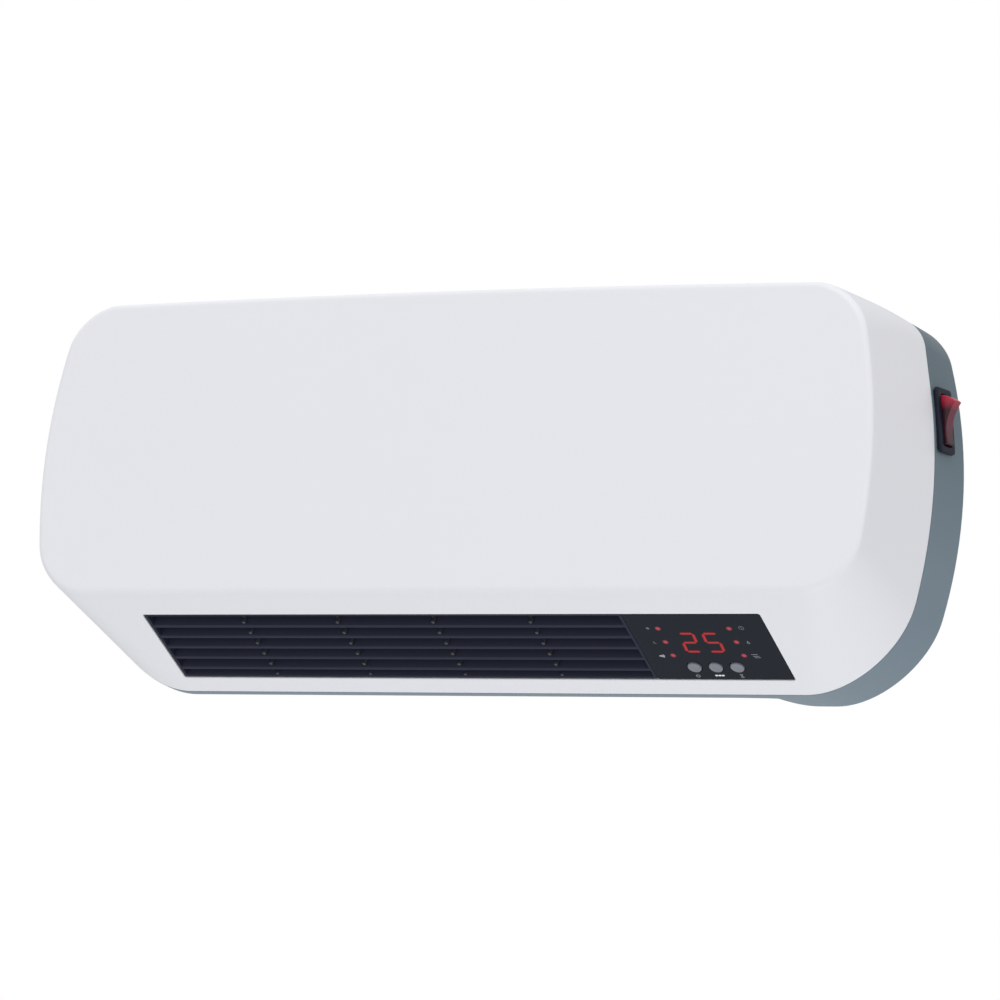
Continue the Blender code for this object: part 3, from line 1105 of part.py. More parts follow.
def make_switch(switch_frame: bpy.types.Object) -> None:
    """Mains switch: a bezel and barrel in the housing's side, and the rocker that tips in it."""
    face = GAP + BEZEL_THICKNESS
    pivot = face - PIVOT_BELOW_FACE
    bezel = bmesh.new()
    add_box(bezel, (GAP, -BEZEL_WIDTH / 2, -BEZEL_LENGTH / 2), (face, BEZEL_WIDTH / 2, BEZEL_LENGTH / 2))
    body = add_object("switch_body", bezel, "black_plastic", switch_frame)
    barrel = bmesh.new()
    add_box(barrel, (-BARREL_DEPTH, -BARREL_WIDTH / 2, -BARREL_LENGTH / 2),
            (GAP + 0.0006, BARREL_WIDTH / 2, BARREL_LENGTH / 2))
    combine(body, add_object("switch_barrel", barrel, "black_plastic", switch_frame), "UNION")
    tabs = bmesh.new()
    for z in TERMINAL_TAB_ZS:
        add_box(tabs,
                (-BARREL_DEPTH - TERMINAL_TAB_LENGTH, -TERMINAL_TAB_HALF_WIDTH, z - TERMINAL_TAB_HALF_THICKNESS),
                (-BARREL_DEPTH + OVERLAP, TERMINAL_TAB_HALF_WIDTH, z + TERMINAL_TAB_HALF_THICKNESS))
    combine(body, add_object("switch_tabs", tabs, "black_plastic", switch_frame), "UNION")
    reach = math.hypot(ROCKER_HALF_LENGTH, ROCKER_END_HEIGHT) + ROCKER_CLEARANCE
    half_pocket = ROCKER_WIDTH / 2 + ROCKER_CLEARANCE
    pocket = bmesh.new()
    add_box(pocket, (pivot - ROCKER_POCKET, -half_pocket, -reach), (face + 0.004, half_pocket, reach))
    combine(body, add_object("switch_pocket", pocket, "black_plastic", switch_frame), "DIFFERENCE")
    pin_reach = BARREL_WIDTH / 2 - 0.0002
    pin_holes = bmesh.new()
    add_rod(pin_holes, (pivot, 0.0, 0.0), "Y", PIVOT_PIN_RADIUS + GAP, -BARREL_WIDTH / 2 - 0.0004,
            BARREL_WIDTH / 2 + 0.0004, 12)
    combine(body, add_object("pivot_holes", pin_holes, "black_plastic", switch_frame), "DIFFERENCE")

    rocker_axis = add_empty("rocker_axis", Matrix.Translation((pivot, 0.0, 0.0))
                            @ Matrix.Rotation(ROCKER_REST, 4, "Y"), switch_frame)
    slab = bmesh.new()
    add_loft(slab, [[Vector((height, y, along)) for height, along in rocker_outline()]
                    for y in (-ROCKER_WIDTH / 2, ROCKER_WIDTH / 2)])
    rocker = add_object("power_rocker", slab, "red_rocker", rocker_axis, smooth=True)
    pin = bmesh.new()
    add_rod(pin, (0.0, 0.0, 0.0), "Y", PIVOT_PIN_RADIUS, -pin_reach, pin_reach, 10)
    combine(rocker, add_object("rocker_pin", pin, "red_rocker", rocker_axis), "UNION")


def rocker_outline() -> list[tuple[float, float]]:
    """Side view of the rocker as (height, distance along): a hollow face between two round ends."""
    radius = math.hypot(ROCKER_HALF_LENGTH, ROCKER_END_HEIGHT)
    end_angle = math.asin(ROCKER_END_HEIGHT / radius)
    low_angle = math.asin(ROCKER_UNDERSIDE / radius)
    face = []
    for index in range(-2, 3):
        share = index / 3
        height = ROCKER_MIDDLE_HEIGHT + (ROCKER_END_HEIGHT - ROCKER_MIDDLE_HEIGHT) * share * share
        face.append((height, ROCKER_HALF_LENGTH * share))
    upper_end = []
    for index in range(5):
        angle = end_angle + (low_angle - end_angle) * index / 4
        upper_end.append((radius * math.sin(angle), radius * math.cos(angle)))
    lower_end = [(height, -along) for height, along in upper_end[::-1]]
    return face + upper_end + lower_end


def standoff_places() -> list[tuple[float, float]]:
    """Centres of the four standoffs under the power board, as (x, z)."""
    (left, bottom), (right, top) = POWER_BOARD
    return [(x, z) for x in (left + BOARD_MARGIN, right - BOARD_MARGIN)
            for z in (bottom + BOARD_MARGIN, top - BOARD_MARGIN)]


def make_power_electronics() -> None:
    """Board on the housing's standoffs with two relays, a capacitor and a transformer."""
    (left, bottom), (right, top) = POWER_BOARD
    front = POWER_BOARD_BACK_Y - BOARD_THICKNESS
    board = bmesh.new()
    add_box(board, (left, front, bottom), (right, POWER_BOARD_BACK_Y, top))
    add_object("power_board", board, "circuit_board")
    seat = front - GAP
    blocks = (
        ("relay_upper", "relay_blue", (left + RELAY_X, RELAY_ZS[0]), RELAY_SIZE),
        ("relay_lower", "relay_blue", (left + RELAY_X, RELAY_ZS[1]), RELAY_SIZE),
        ("transformer", "cream_plastic", (left + TRANSFORMER_XZ[0], TRANSFORMER_XZ[1]), TRANSFORMER_SIZE),
    )
    for name, finish, (x, z), (width, depth, height) in blocks:
        data = bmesh.new()
        add_box(data, (x, seat - depth, z), (x + width, seat, z + height))
        add_object(name, data, finish)
    capacitor = bmesh.new()
    x, z = CAPACITOR_XZ
    end = seat - CAPACITOR_HEIGHT
    add_turned(capacitor, ((0.0, seat), (CAPACITOR_RADIUS, seat), (CAPACITOR_RADIUS, end + 0.001),
                           (CAPACITOR_RADIUS - 0.001, end), (0.0, end)), (left + x, 0.0, z), "Y", 16)
    add_object("filter_capacitor", capacitor, "black_plastic", smooth=True)
    terminal = bmesh.new()
    back = -WALL - GAP
    half_width, half_height = TERMINAL_HALF
    add_box(terminal, (TERMINAL_XS[1] - half_width, back - TERMINAL_HEIGHT, TERMINAL_Z - half_height),
            (TERMINAL_XS[1] + half_width, back, TERMINAL_Z + half_height))
    block = add_object("terminal_block", terminal, "cream_plastic")
    wells = bmesh.new()
    for x in TERMINAL_XS:
        add_rod(wells, (x, 0.0, TERMINAL_Z), "Y", TERMINAL_WELL_RADIUS, back - TERMINAL_HEIGHT - 0.002,
                back - TERMINAL_HEIGHT + 0.005, 10)
    combine(block, add_object("terminal_wells", wells, "cream_plastic"), "DIFFERENCE")


def add_wire(name: str, radius: float, route) -> None:
    """A wire with filled ends through a smooth curve over its route."""
    points = [Vector(point) for point in route]
    dense = []
    for index in range(len(points) - 1):
        before = points[max(index - 1, 0)]
        start = points[index]
        end = points[index + 1]
        after = points[min(index + 2, len(points) - 1)]
        for step in range(3):
            t = step / 3
            dense.append(0.5 * ((2 * start) + (end - before) * t
                                + (2 * before - 5 * start + 4 * end - after) * t * t
                                + (3 * start - before - 3 * end + after) * t ** 3))
    dense.append(points[-1])
    curve = bpy.data.curves.new(name, "CURVE")
    curve.dimensions = "3D"
    curve.bevel_depth = radius
    curve.bevel_resolution = 1
    curve.use_fill_caps = True
    spline = curve.splines.new("POLY")
    spline.points.add(len(dense) - 1)
    for target, point in zip(spline.points, dense):
        target.co = (*point, 1.0)
    curve.materials.append(material("wire_sheath"))
    bpy.context.collection.objects.link(bpy.data.objects.new(name, curve))


def make_wiring() -> None:
    """Leads from the power board to the motor and the switch."""
    add_wire("motor_lead", MOTOR_LEAD_RADIUS, MOTOR_LEAD_ROUTE)
    add_wire("switch_lead", SWITCH_LEAD_RADIUS, SWITCH_LEAD_ROUTE)


def build() -> None:
    clear_scene()
    underside = add_empty("underside_frame", Matrix.Translation((0.0, FRONT_BOTTOM_Y, FRONT_EDGE.bottom))
                          @ Matrix.Rotation(-SLOPE_ANGLE, 4, "X"))
    switch_frame = add_empty("switch_frame", switch_matrix())
    fan_axis = add_empty("fan_axis", fan_matrix())
    bpy.context.view_layer.update()
    make_front_cover(underside)
    make_intake_grille()
    make_rear_housing(switch_frame)
    make_wall_bracket()
    make_cover_screws()
    make_cable_bush()
    make_outlet_grille(underside)
    make_control_fascia(underside)
    make_buttons(underside)
    make_indicators(underside)
    make_control_board(underside)
    make_fan(fan_axis)
    make_motor()
    make_bearing()
    make_end_plates()
    make_duct_walls()
    make_heating_elements()
    make_safety_devices()
    make_switch(switch_frame)
    make_power_electronics()
    make_wiring()


build()
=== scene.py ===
"""Looks of a wall-mounted fan convector heater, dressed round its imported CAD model.

Metres, +Z up.  The heater's back lies on the plane y = 0 and its front faces -Y.  Each sub-assembly
is a class that builds its own meshes, finishes them and lets them ride on the body they belong to.
"""
from __future__ import annotations

import json
import logging
from dataclasses import dataclass, replace
from enum import Enum
from functools import cache
from math import asin, atan2, copysign, cos, dist, hypot, pi, radians, sin, tan, tau
from typing import Any, Callable, Iterable, Sequence

import bmesh
import bpy
from mathutils import Matrix, Vector

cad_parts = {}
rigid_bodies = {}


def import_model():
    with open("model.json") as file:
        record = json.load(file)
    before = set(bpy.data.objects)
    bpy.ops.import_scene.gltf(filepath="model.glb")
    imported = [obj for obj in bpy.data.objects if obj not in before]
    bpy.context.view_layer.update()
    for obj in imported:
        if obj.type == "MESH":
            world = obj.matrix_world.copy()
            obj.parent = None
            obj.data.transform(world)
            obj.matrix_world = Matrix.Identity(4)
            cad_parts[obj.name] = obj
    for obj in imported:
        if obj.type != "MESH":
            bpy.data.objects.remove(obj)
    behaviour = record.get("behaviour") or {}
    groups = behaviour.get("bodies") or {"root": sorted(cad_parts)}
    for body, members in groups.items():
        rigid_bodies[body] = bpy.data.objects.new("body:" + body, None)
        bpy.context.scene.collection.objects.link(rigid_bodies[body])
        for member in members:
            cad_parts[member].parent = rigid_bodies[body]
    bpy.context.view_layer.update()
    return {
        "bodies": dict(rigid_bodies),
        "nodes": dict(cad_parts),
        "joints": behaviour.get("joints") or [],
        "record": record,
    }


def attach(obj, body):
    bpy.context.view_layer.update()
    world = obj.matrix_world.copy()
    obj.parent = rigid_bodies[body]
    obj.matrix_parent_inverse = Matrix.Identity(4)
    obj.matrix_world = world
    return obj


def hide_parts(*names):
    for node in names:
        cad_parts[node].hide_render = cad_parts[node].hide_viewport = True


LOG = logging.getLogger("fan_convector_heater")
SMOOTH_ANGLE = radians(32)
TINY = 0.00005
GLOW = "glow"

Point = tuple[float, float]
Triple = tuple[float, float, float]
Colour = Triple
Ring = list[Vector]
Piece = bpy.types.Object
Fed = dict[str, Any]
Node = bpy.types.Node
NodeTree = bpy.types.NodeTree
Socket = bpy.types.NodeSocket


class Body(Enum):
    """The CAD bodies that a piece can ride on."""

    ROOT = "root"
    FAN = "fan_rotor"
    ROCKER = "rocker"
    LEFT_BUTTON = "left_button"
    MIDDLE_BUTTON = "middle_button"
    RIGHT_BUTTON = "right_button"


class Axis(Enum):
    """The axis that a turned shape is turned about."""

    X = "X"
    Y = "Y"
    Z = "Z"

    def place(self, radius: float, level: float, angle: float) -> Vector:
        """Return the point at a radius, a level along the axis and an angle round it."""
        first, second = radius * cos(angle), radius * sin(angle)
        return Vector({Axis.X: (level, first, second), Axis.Y: (second, level, first),
                       Axis.Z: (first, second, level)}[self])


def shift(x: float, y: float, z: float) -> Matrix:
    """Return a move."""
    return Matrix.Translation((x, y, z))


def turn(angle: float, axis: Axis) -> Matrix:
    """Return a turn about an axis through the origin."""
    return Matrix.Rotation(angle, 4, axis.value)


def smoothstep(low: float, high: float, value: float) -> float:
    """Return 0 before low, 1 after high, and a soft ramp between."""
    t = min(max((value - low) / (high - low), 0.0), 1.0)
    return t * t * (3.0 - 2.0 * t)


# --- node trees
FLOAT = "NodeSocketFloat"
INTEGER = "NodeSocketInt"
VECTOR = "NodeSocketVector"
COLOUR = "NodeSocketColor"
GEOMETRY = "NodeSocketGeometry"
MATERIAL = "NodeSocketMaterial"
SURFACE = {"Colour": COLOUR, "Roughness": FLOAT, "Normal": VECTOR}
SHADER_SOCKETS = {"Colour": "Base Color", "Roughness": "Roughness", "Normal": "Normal"}


class Tree:
    """Short calls for filling a node tree."""

    def __init__(self, tree: NodeTree) -> None:
        """Wrap the tree that is filled."""
        self.tree = tree

    def add(self, kind: str, inputs: dict[str | int, Any] | None = None, **settings: Any) -> Node:
        """Add a node.

        Args:
            kind: the node's type name.
            inputs: what feed puts into its sockets, by name or place.
            settings: the node's own options.

        Returns:
            The node.
        """
        node = self.tree.nodes.new(kind)
        for name, value in settings.items():
            setattr(node, name, value)
        for key, value in (inputs or {}).items():
            self.feed(node.inputs[key], value)
        return node

    def feed(self, socket: Socket, value: Any) -> None:
        """Link an output to a socket, or set the socket's own value.

        Args:
            socket: the socket.
            value: an output, a node whose first output is meant, or a plain value; a plain colour is opaque.
        """
        if isinstance(value, (Node, Socket)):
            self.tree.links.new(value.outputs[0] if isinstance(value, Node) else value, socket)
        else:
            socket.default_value = (*value[:3], 1.0) if socket.type == "RGBA" else value

    def math(self, operation: str, first: Any, second: Any = 0.0, third: Any = 0.0) -> Node:
        """Add a Math node."""
        return self.add("ShaderNodeMath", {0: first, 1: second, 2: third}, operation=operation)

    def mix(self, share: Any, first: Any, second: Any) -> Socket:
        """Add a Mix node for two colours."""
        return self.add("ShaderNodeMix", {0: share, 6: first, 7: second}, data_type="RGBA").outputs[2]

    def toned(self, colour: Any, factor: Any) -> Node:
        """Scale a colour by a factor."""
        return self.add("ShaderNodeVectorMath", {0: colour, "Scale": factor}, operation="SCALE")

    def ramp(self, value: Any, start: float, end: float) -> Node:
        """Take start..end to 0..1."""
        return self.add("ShaderNodeMapRange", {"Value": value, "From Min": start, "From Max": end})

    def spread(self, value: Any, low: float, high: float) -> Node:
        """Take 0..1 to low..high."""
        return self.add("ShaderNodeMapRange", {"Value": value, "To Min": low, "To Max": high})

    def place(self) -> Socket:
        """Give the place on the object."""
        return self.add("ShaderNodeTexCoord").outputs["Object"]

    def noise(self, scale: Any, detail: float, place: Any = None) -> Socket:
        """Add a Noise Texture, on the place on the object unless told otherwise."""
        inputs = {"Vector": place or self.place(), "Scale": scale, "Detail": detail}
        return self.add("ShaderNodeTexNoise", inputs).outputs["Fac"]

    def relief(self, height: Any, depth: Any, strength: float = 1.0) -> Node:
        """Turn a height into a normal."""
        return self.add("ShaderNodeBump", {"Height": height, "Distance": depth, "Strength": strength})

    def glow(self) -> Socket:
        """Read the piece's own glow attribute."""
        return self.add("ShaderNodeAttribute", attribute_name=GLOW).outputs["Fac"]

    def vector(self, **parts: Any) -> Node:
        """Make a vector from the parts given."""
        return self.add("ShaderNodeCombineXYZ", parts)

    def part(self, vector: Any, axis: Axis) -> Socket:
        """Take one part of a vector."""
        return self.add("ShaderNodeSeparateXYZ", {0: vector}).outputs[axis.value]

    def close(self, result: Node, **values: Any) -> NodeTree:
        """Feed a group's outputs.

        Args:
            result: the group's output node.
            values: what feeds each output, by label.

        Returns:
            The group.
        """
        for label, value in values.items():
            self.feed(result.inputs[label], value)
        return self.tree


Group = tuple[Tree, bpy.types.bpy_prop_collection, Node]


def new_group(name: str, kind: str, inputs: dict[str, Any], outputs: dict[str, str]) -> Group:
    """Start a node group.

    Args:
        name: the group's name.
        kind: ShaderNodeTree or GeometryNodeTree.
        inputs: each input's default, or its socket type where it has none, by label.
        outputs: each output's socket type, by label.

    Returns:
        The tree, what its input node gives and its output node.
    """
    tree = bpy.data.node_groups.new(name, kind)
    by_type = {float: FLOAT, int: INTEGER, tuple: COLOUR, Vector: VECTOR}
    for label, value in inputs.items():
        plain = isinstance(value, str)
        socket = tree.interface.new_socket(name=label, in_out="INPUT",
                                           socket_type=value if plain else by_type[type(value)])
        if not plain:
            socket.default_value = value
    for label, socket_type in outputs.items():
        tree.interface.new_socket(name=label, in_out="OUTPUT", socket_type=socket_type)
    wrapped = Tree(tree)
    return wrapped, wrapped.add("NodeGroupInput").outputs, wrapped.add("NodeGroupOutput")


@cache
def moulded_group() -> NodeTree:
    """Build the effect of a spark-eroded mould: slow tone drift, fine grain and uneven gloss.

    Returns:
        The node group.
    """
    tree, given, result = new_group(
        "moulded_surface", "ShaderNodeTree",
        {"Colour": (0.8, 0.8, 0.8, 1.0), "Drift": 0.03, "Drift Size": 0.08, "Grain Size": 0.0006,
         "Grain Depth": 0.00002, "Roughness": 0.4, "Gloss Spread": 0.08}, SURFACE)
    place = tree.place()
    drift = tree.noise(tree.math("DIVIDE", 1.0, given["Drift Size"]), 3.0, place)
    centred = tree.math("SUBTRACT", drift, 0.5)
    grain = tree.noise(tree.math("DIVIDE", 1.0, given["Grain Size"]), 2.0, place)
    return tree.close(result,
                      Colour=tree.toned(given["Colour"], tree.math("MULTIPLY_ADD", centred, given["Drift"], 1.0)),
                      Roughness=tree.math("MULTIPLY_ADD", centred, given["Gloss Spread"], given["Roughness"]),
                      Normal=tree.relief(grain, given["Grain Depth"]))


@cache
def rolled_group() -> NodeTree:
    """Build the effect of rolled sheet: streaks along one direction and zinc spangle.

    Returns:
        The node group.
    """
    tree, given, result = new_group(
        "rolled_metal", "ShaderNodeTree",
        {"Colour": (0.6, 0.6, 0.6, 1.0), "Roughness": 0.4, "Streak Stretch": Vector((1, 20, 20)),
         "Streak Size": 0.01, "Spangle Size": 0.004, "Spangle": 0.1}, SURFACE)
    place = tree.place()
    stretched = tree.add("ShaderNodeMapping", {"Vector": place, "Scale": given["Streak Stretch"]})
    streak = tree.noise(tree.math("DIVIDE", 1.0, given["Streak Size"]), 4.0, stretched)
    cells = tree.add("ShaderNodeTexVoronoi", {"Vector": place,
                                              "Scale": tree.math("DIVIDE", 1.0, given["Spangle Size"])})
    flake = tree.add("ShaderNodeSeparateColor", {"Color": cells.outputs["Color"]}).outputs["Red"]
    flaked = tree.math("MULTIPLY_ADD", flake, given["Spangle"], 1.0)
    factor = tree.math("MULTIPLY", flaked, tree.spread(streak, 0.9, 1.05))
    return tree.close(result, Colour=tree.toned(given["Colour"], factor),
                      Roughness=tree.math("MULTIPLY", given["Roughness"], tree.spread(streak, 0.8, 1.3)),
                      Normal=tree.relief(streak, 0.00002, 0.6))


@cache
def dust_group() -> NodeTree:
    """Build the effect of fine dust that settles on faces that look up.

    Returns:
        The node group.
    """
    tree, given, result = new_group("settled_dust", "ShaderNodeTree",
                                    {"Colour": (0.1, 0.1, 0.1, 1.0), "Dust": 0.15}, {"Colour": COLOUR})
    facing = tree.part(tree.add("ShaderNodeNewGeometry").outputs["Normal"], Axis.Z)
    amount = tree.math("MULTIPLY", tree.ramp(facing, 0.2, 0.95), given["Dust"])
    amount = tree.math("MULTIPLY", amount, tree.noise(260.0, 5.0))
    return tree.close(result, Colour=tree.mix(amount, given["Colour"], (0.55, 0.54, 0.52)))


# --- finishes
@dataclass(frozen=True)
class Finish:
    """A smooth finish, and what every other finish shares."""

    name: str
    slot: str
    colour: Colour
    roughness: float
    specular: float = 0.5
    metallic: float = 0.0
    extras: tuple[tuple[str, float], ...] = ()

    def material(self) -> bpy.types.Material:
        """Make the finish's material, the first time it is asked for.

        Returns:
            The material.
        """
        known = bpy.data.materials.get(self.name)
        if known:
            return known
        made = bpy.data.materials.new(self.name)
        made.use_nodes = True
        made.diffuse_color = (*self.colour, 1.0)
        tree, shader = Tree(made.node_tree), made.node_tree.nodes["Principled BSDF"]
        plain = {"Base Color": self.colour, "Roughness": self.roughness, "Metallic": self.metallic,
                 "Specular IOR Level": self.specular, **dict(self.extras)}
        for socket, value in plain.items():
            tree.feed(shader.inputs[socket], value)
        for socket, value in self.dress(tree).items():
            tree.feed(shader.inputs[SHADER_SOCKETS.get(socket, socket)], value)
        return made

    def dress(self, tree: Tree) -> Fed:
        """Give what varies over the surface, by socket: here, a faint unevenness of gloss."""
        return {"Roughness": tree.spread(tree.noise(60.0, 3.0), self.roughness * 0.85, self.roughness * 1.15)}


@dataclass(frozen=True)
class Moulded(Finish):
    """Moulded plastic or rubber: slow tone drift, fine eroded grain and a little settled dust."""

    drift: float = 0.04
    drift_size: float = 0.07
    grain_size: float = 0.0006
    grain_depth: float = 0.00001
    gloss_spread: float = 0.08
    dust: float = 0.0

    def dress(self, tree: Tree) -> Fed:
        """Give colour, gloss and relief from the moulded surface effect, with any dust over them.

        Args:
            tree: the material's node tree.

        Returns:
            What feeds the shader's sockets.
        """
        surface = tree.add("ShaderNodeGroup", node_tree=moulded_group(), inputs={
            "Colour": self.colour, "Drift": self.drift, "Drift Size": self.drift_size,
            "Grain Size": self.grain_size, "Grain Depth": self.grain_depth, "Roughness": self.roughness,
            "Gloss Spread": self.gloss_spread})
        fed = dict(surface.outputs.items())
        if self.dust:
            fed["Colour"] = tree.add("ShaderNodeGroup", {"Colour": fed["Colour"], "Dust": self.dust},
                                     node_tree=dust_group()).outputs["Colour"]
        return fed


@dataclass(frozen=True)
class PaintedLightMoulded(Moulded):
    """Moulding with painted light and shade: its tone shifts with its height, and the flank that looks to the front
    is painted darker.

    Each painted tone is a colour, the height where none of it shows and the height where all of it does.
    """

    painted_tones: tuple[tuple[Colour, float, float], ...] = ()
    painted_flank_shade: Colour | None = None

    def dress(self, tree: Tree) -> Fed:
        """Mix the painted tones and the flank's painted shade over the moulded surface's colour.

        Args:
            tree: the material's node tree.

        Returns:
            What feeds the shader's sockets.
        """
        fed = super().dress(tree)
        given = tree.add("ShaderNodeTexCoord").outputs
        height = tree.part(given["Object"], Axis.Z)
        # painted shade: faces that look to the front turn dark, as if shaded
        if self.painted_flank_shade:
            facing = tree.part(given["Normal"], Axis.Y)
            fed["Colour"] = tree.mix(tree.ramp(facing, -0.4, -0.85), fed["Colour"], self.painted_flank_shade)
        # painted light and shade that changes with height
        for painted_tone, absent, full in self.painted_tones:
            fed["Colour"] = tree.mix(tree.ramp(height, absent, full), fed["Colour"], painted_tone)
        return fed


@dataclass(frozen=True)
class Rolled(Finish):
    """Sheet metal: rolling streaks along X and, on zinc, spangle."""

    metallic: float = 1.0
    stretch: Triple = (1.0, 18.0, 18.0)
    streak_size: float = 0.02
    spangle_size: float = 0.004
    spangle: float = 0.0

    def dress(self, tree: Tree) -> Fed:
        """Give colour, gloss and relief from the rolled metal effect."""
        return dict(tree.add("ShaderNodeGroup", node_tree=rolled_group(), inputs={
            "Colour": self.colour, "Roughness": self.roughness, "Streak Stretch": self.stretch,
            "Streak Size": self.streak_size, "Spangle Size": self.spangle_size,
            "Spangle": self.spangle}).outputs.items())


@dataclass(frozen=True)
class Lit(Finish):
    """A lit window, brightest where the piece's own glow attribute is 1."""

    core: Colour = (1.0, 0.3, 0.3)
    rim: Colour = (0.3, 0.0, 0.0)

    def dress(self, tree: Tree) -> Fed:
        """Give the emission, from rim to core by the glow attribute."""
        return {"Emission Color": tree.mix(tree.glow(), self.rim, self.core), "Emission Strength": 1.0}


@dataclass(frozen=True)
class Printed(Finish):
    """Pale print, as strong as the piece's own glow attribute says."""

    ground: Colour = (0.016, 0.020, 0.028)

    def dress(self, tree: Tree) -> Fed:
        """Give the colour, from the panel's own to full print."""
        return {"Colour": tree.mix(tree.glow(), self.ground, self.colour)}


@dataclass(frozen=True)
class Laminate(Finish):
    """A circuit board: solder mask over copper tracks."""

    track_colour: Colour = (0.05, 0.26, 0.12)
    track_scale: float = 260.0

    def dress(self, tree: Tree) -> Fed:
        """Give the colour from a maze of tracks."""
        cells = tree.add("ShaderNodeTexVoronoi", {"Vector": tree.place(), "Scale": self.track_scale,
                                                  "Randomness": 0.6}, feature="F1", distance="CHEBYCHEV")
        return {"Colour": tree.mix(tree.ramp(cells.outputs["Distance"], 0.30, 0.34), self.colour, self.track_colour)}


class Palette:
    """The heater's finishes."""

    WHITE = Moulded("satin_white_plastic", "white_cover", (0.80, 0.806, 0.845), 0.38, drift=0.012,
                    drift_size=0.12, grain_size=0.0007, grain_depth=0.000006)
    # painted light: the shell turns paler and bluer towards its foot, standing in for the light that reaches its
    # lower walls
    TEAL = PaintedLightMoulded("blue_grey_plastic", "teal_housing", (0.108, 0.153, 0.180), 0.46, specular=0.4, drift=0.05,
                  grain_size=0.0008, grain_depth=0.00001, dust=0.04,
                  painted_tones=(((0.170, 0.226, 0.274), 0.050, -0.030),))
    NAVY = Moulded("navy_plastic", "navy_grille", (0.0215, 0.0243, 0.0450), 0.55, specular=0.12, drift=0.1,
                   drift_size=0.03, dust=0.03)
    # painted highlight: a lighter copy of the navy plastic, so that each boss shows as a bright glint
    NAVY_BOSS_GLINT = Moulded("navy_boss_glint", "navy_grille", (0.036, 0.038, 0.052), 0.5, drift=0.1, drift_size=0.01)
    SMOKED = Moulded("smoked_panel", "smoked_fascia", (0.0095, 0.0140, 0.0215), 0.25, specular=0.08, drift=0.08,
                     drift_size=0.04, grain_depth=0.000001)
    BUTTON = Moulded("grey_button", "button_grey", (0.19, 0.20, 0.235), 0.35, drift=0.05, drift_size=0.004,
                     grain_size=0.0004)
    PRINT = Printed("pale_print", "button_grey", (0.80, 0.82, 0.86), 0.6, specular=0.2)
    BLACK = Moulded("black_moulding", "black_plastic", (0.012, 0.013, 0.018), 0.42, drift=0.1, drift_size=0.02,
                    dust=0.06)
    SWITCH = Moulded("switch_black", "black_plastic", (0.008, 0.010, 0.022), 0.4, specular=0.2, drift=0.1,
                     drift_size=0.01, grain_size=0.0003)
    # painted light: the bright tip is a painted highlight; the dark sunk end and the dark front-facing flank are
    # painted shade
    ROCKER = PaintedLightMoulded("translucent_red", "red_rocker", (0.125, 0.016, 0.036), 0.32, specular=0.35, drift=0.3,
                    drift_size=0.0025, grain_size=0.0006, grain_depth=0.00002,
                    extras=(("Coat Weight", 0.15),), painted_flank_shade=(0.030, 0.005, 0.012),
                    painted_tones=(((0.42, 0.020, 0.046), 0.0500, 0.0550), ((0.030, 0.004, 0.010), 0.0425, 0.0360)))
    LENS = Finish("clear_red_lens", "red_lens", (0.45, 0.02, 0.03), 0.15)
    DIGIT = Lit("digit_glow", "red_lens", (0.06, 0.0, 0.0), 0.4, specular=0.1, core=(0.40, 0.028, 0.032),
                rim=(0.17, 0.010, 0.013))
    LAMP = Lit("lamp_glow", "red_lens", (0.05, 0.0, 0.0), 0.3, specular=0.3, core=(0.46, 0.042, 0.082),
               rim=(0.07, 0.005, 0.012))
    BOARD = Laminate("solder_mask", "circuit_board", (0.02, 0.13, 0.06), 0.35)
    ALUMINIUM = Rolled("bare_aluminium", "aluminium", (0.80, 0.81, 0.82), 0.35, streak_size=0.01)
    ZINC = Rolled("zinc_sheet", "galvanised_steel", (0.58, 0.60, 0.62), 0.42, spangle_size=0.005, spangle=0.22)
    STEEL = Rolled("plated_steel", "steel", (0.62, 0.62, 0.63), 0.28, stretch=(1.0, 1.0, 1.0), streak_size=0.001)
    BRASS = Rolled("turned_brass", "brass", (0.75, 0.55, 0.25), 0.35, stretch=(30.0, 1.0, 1.0), streak_size=0.01)
    COPPER = Rolled("enamelled_copper", "copper_winding", (0.55, 0.24, 0.12), 0.45, stretch=(60.0, 1.0, 1.0),
                    streak_size=0.02)
    RUBBER = Moulded("black_rubber", "rubber", (0.02, 0.02, 0.02), 0.8, specular=0.3, grain_depth=0.00003)
    CREAM = Moulded("cream_moulding", "cream_plastic", (0.70, 0.66, 0.55), 0.5, drift=0.06, dust=0.1)
    BLUE = Moulded("blue_relay_case", "relay_blue", (0.05, 0.16, 0.42), 0.35, drift=0.05, dust=0.1)
    SHEATH = Moulded("silicone_sheath", "wire_sheath", (0.25, 0.03, 0.03), 0.55, drift=0.1, drift_size=0.01)
    FLOOR = Moulded("pale_floor", "none", (0.75, 0.75, 0.74), 0.7, drift=0.02, drift_size=0.5, grain_size=0.02,
                    grain_depth=0.0001)

    @classmethod
    def find(cls, **known: str) -> Finish:
        """Return the first finish whose fields say what is known."""
        return next(finish for finish in vars(cls).values()
                    if isinstance(finish, Finish) and known.items() <= vars(finish).items())


# --- shapes
def linked(name: str, data: bpy.types.ID) -> Piece:
    """Put new data into the scene, as an object.

    Args:
        name: the object's name.
        data: a mesh, a light or a camera.

    Returns:
        The object.
    """
    made = bpy.data.objects.new(name, data)
    bpy.context.scene.collection.objects.link(made)
    return made


def quarter(steps: int) -> list[float]:
    """Return the angles that cut a quarter turn into steps, with both ends."""
    return [pi / 2 * step / steps for step in range(steps + 1)]


def flat(outline: Iterable[Point], level: float) -> Ring:
    """Lay an outline flat at a level."""
    return [Vector((x, y, level)) for x, y in outline]


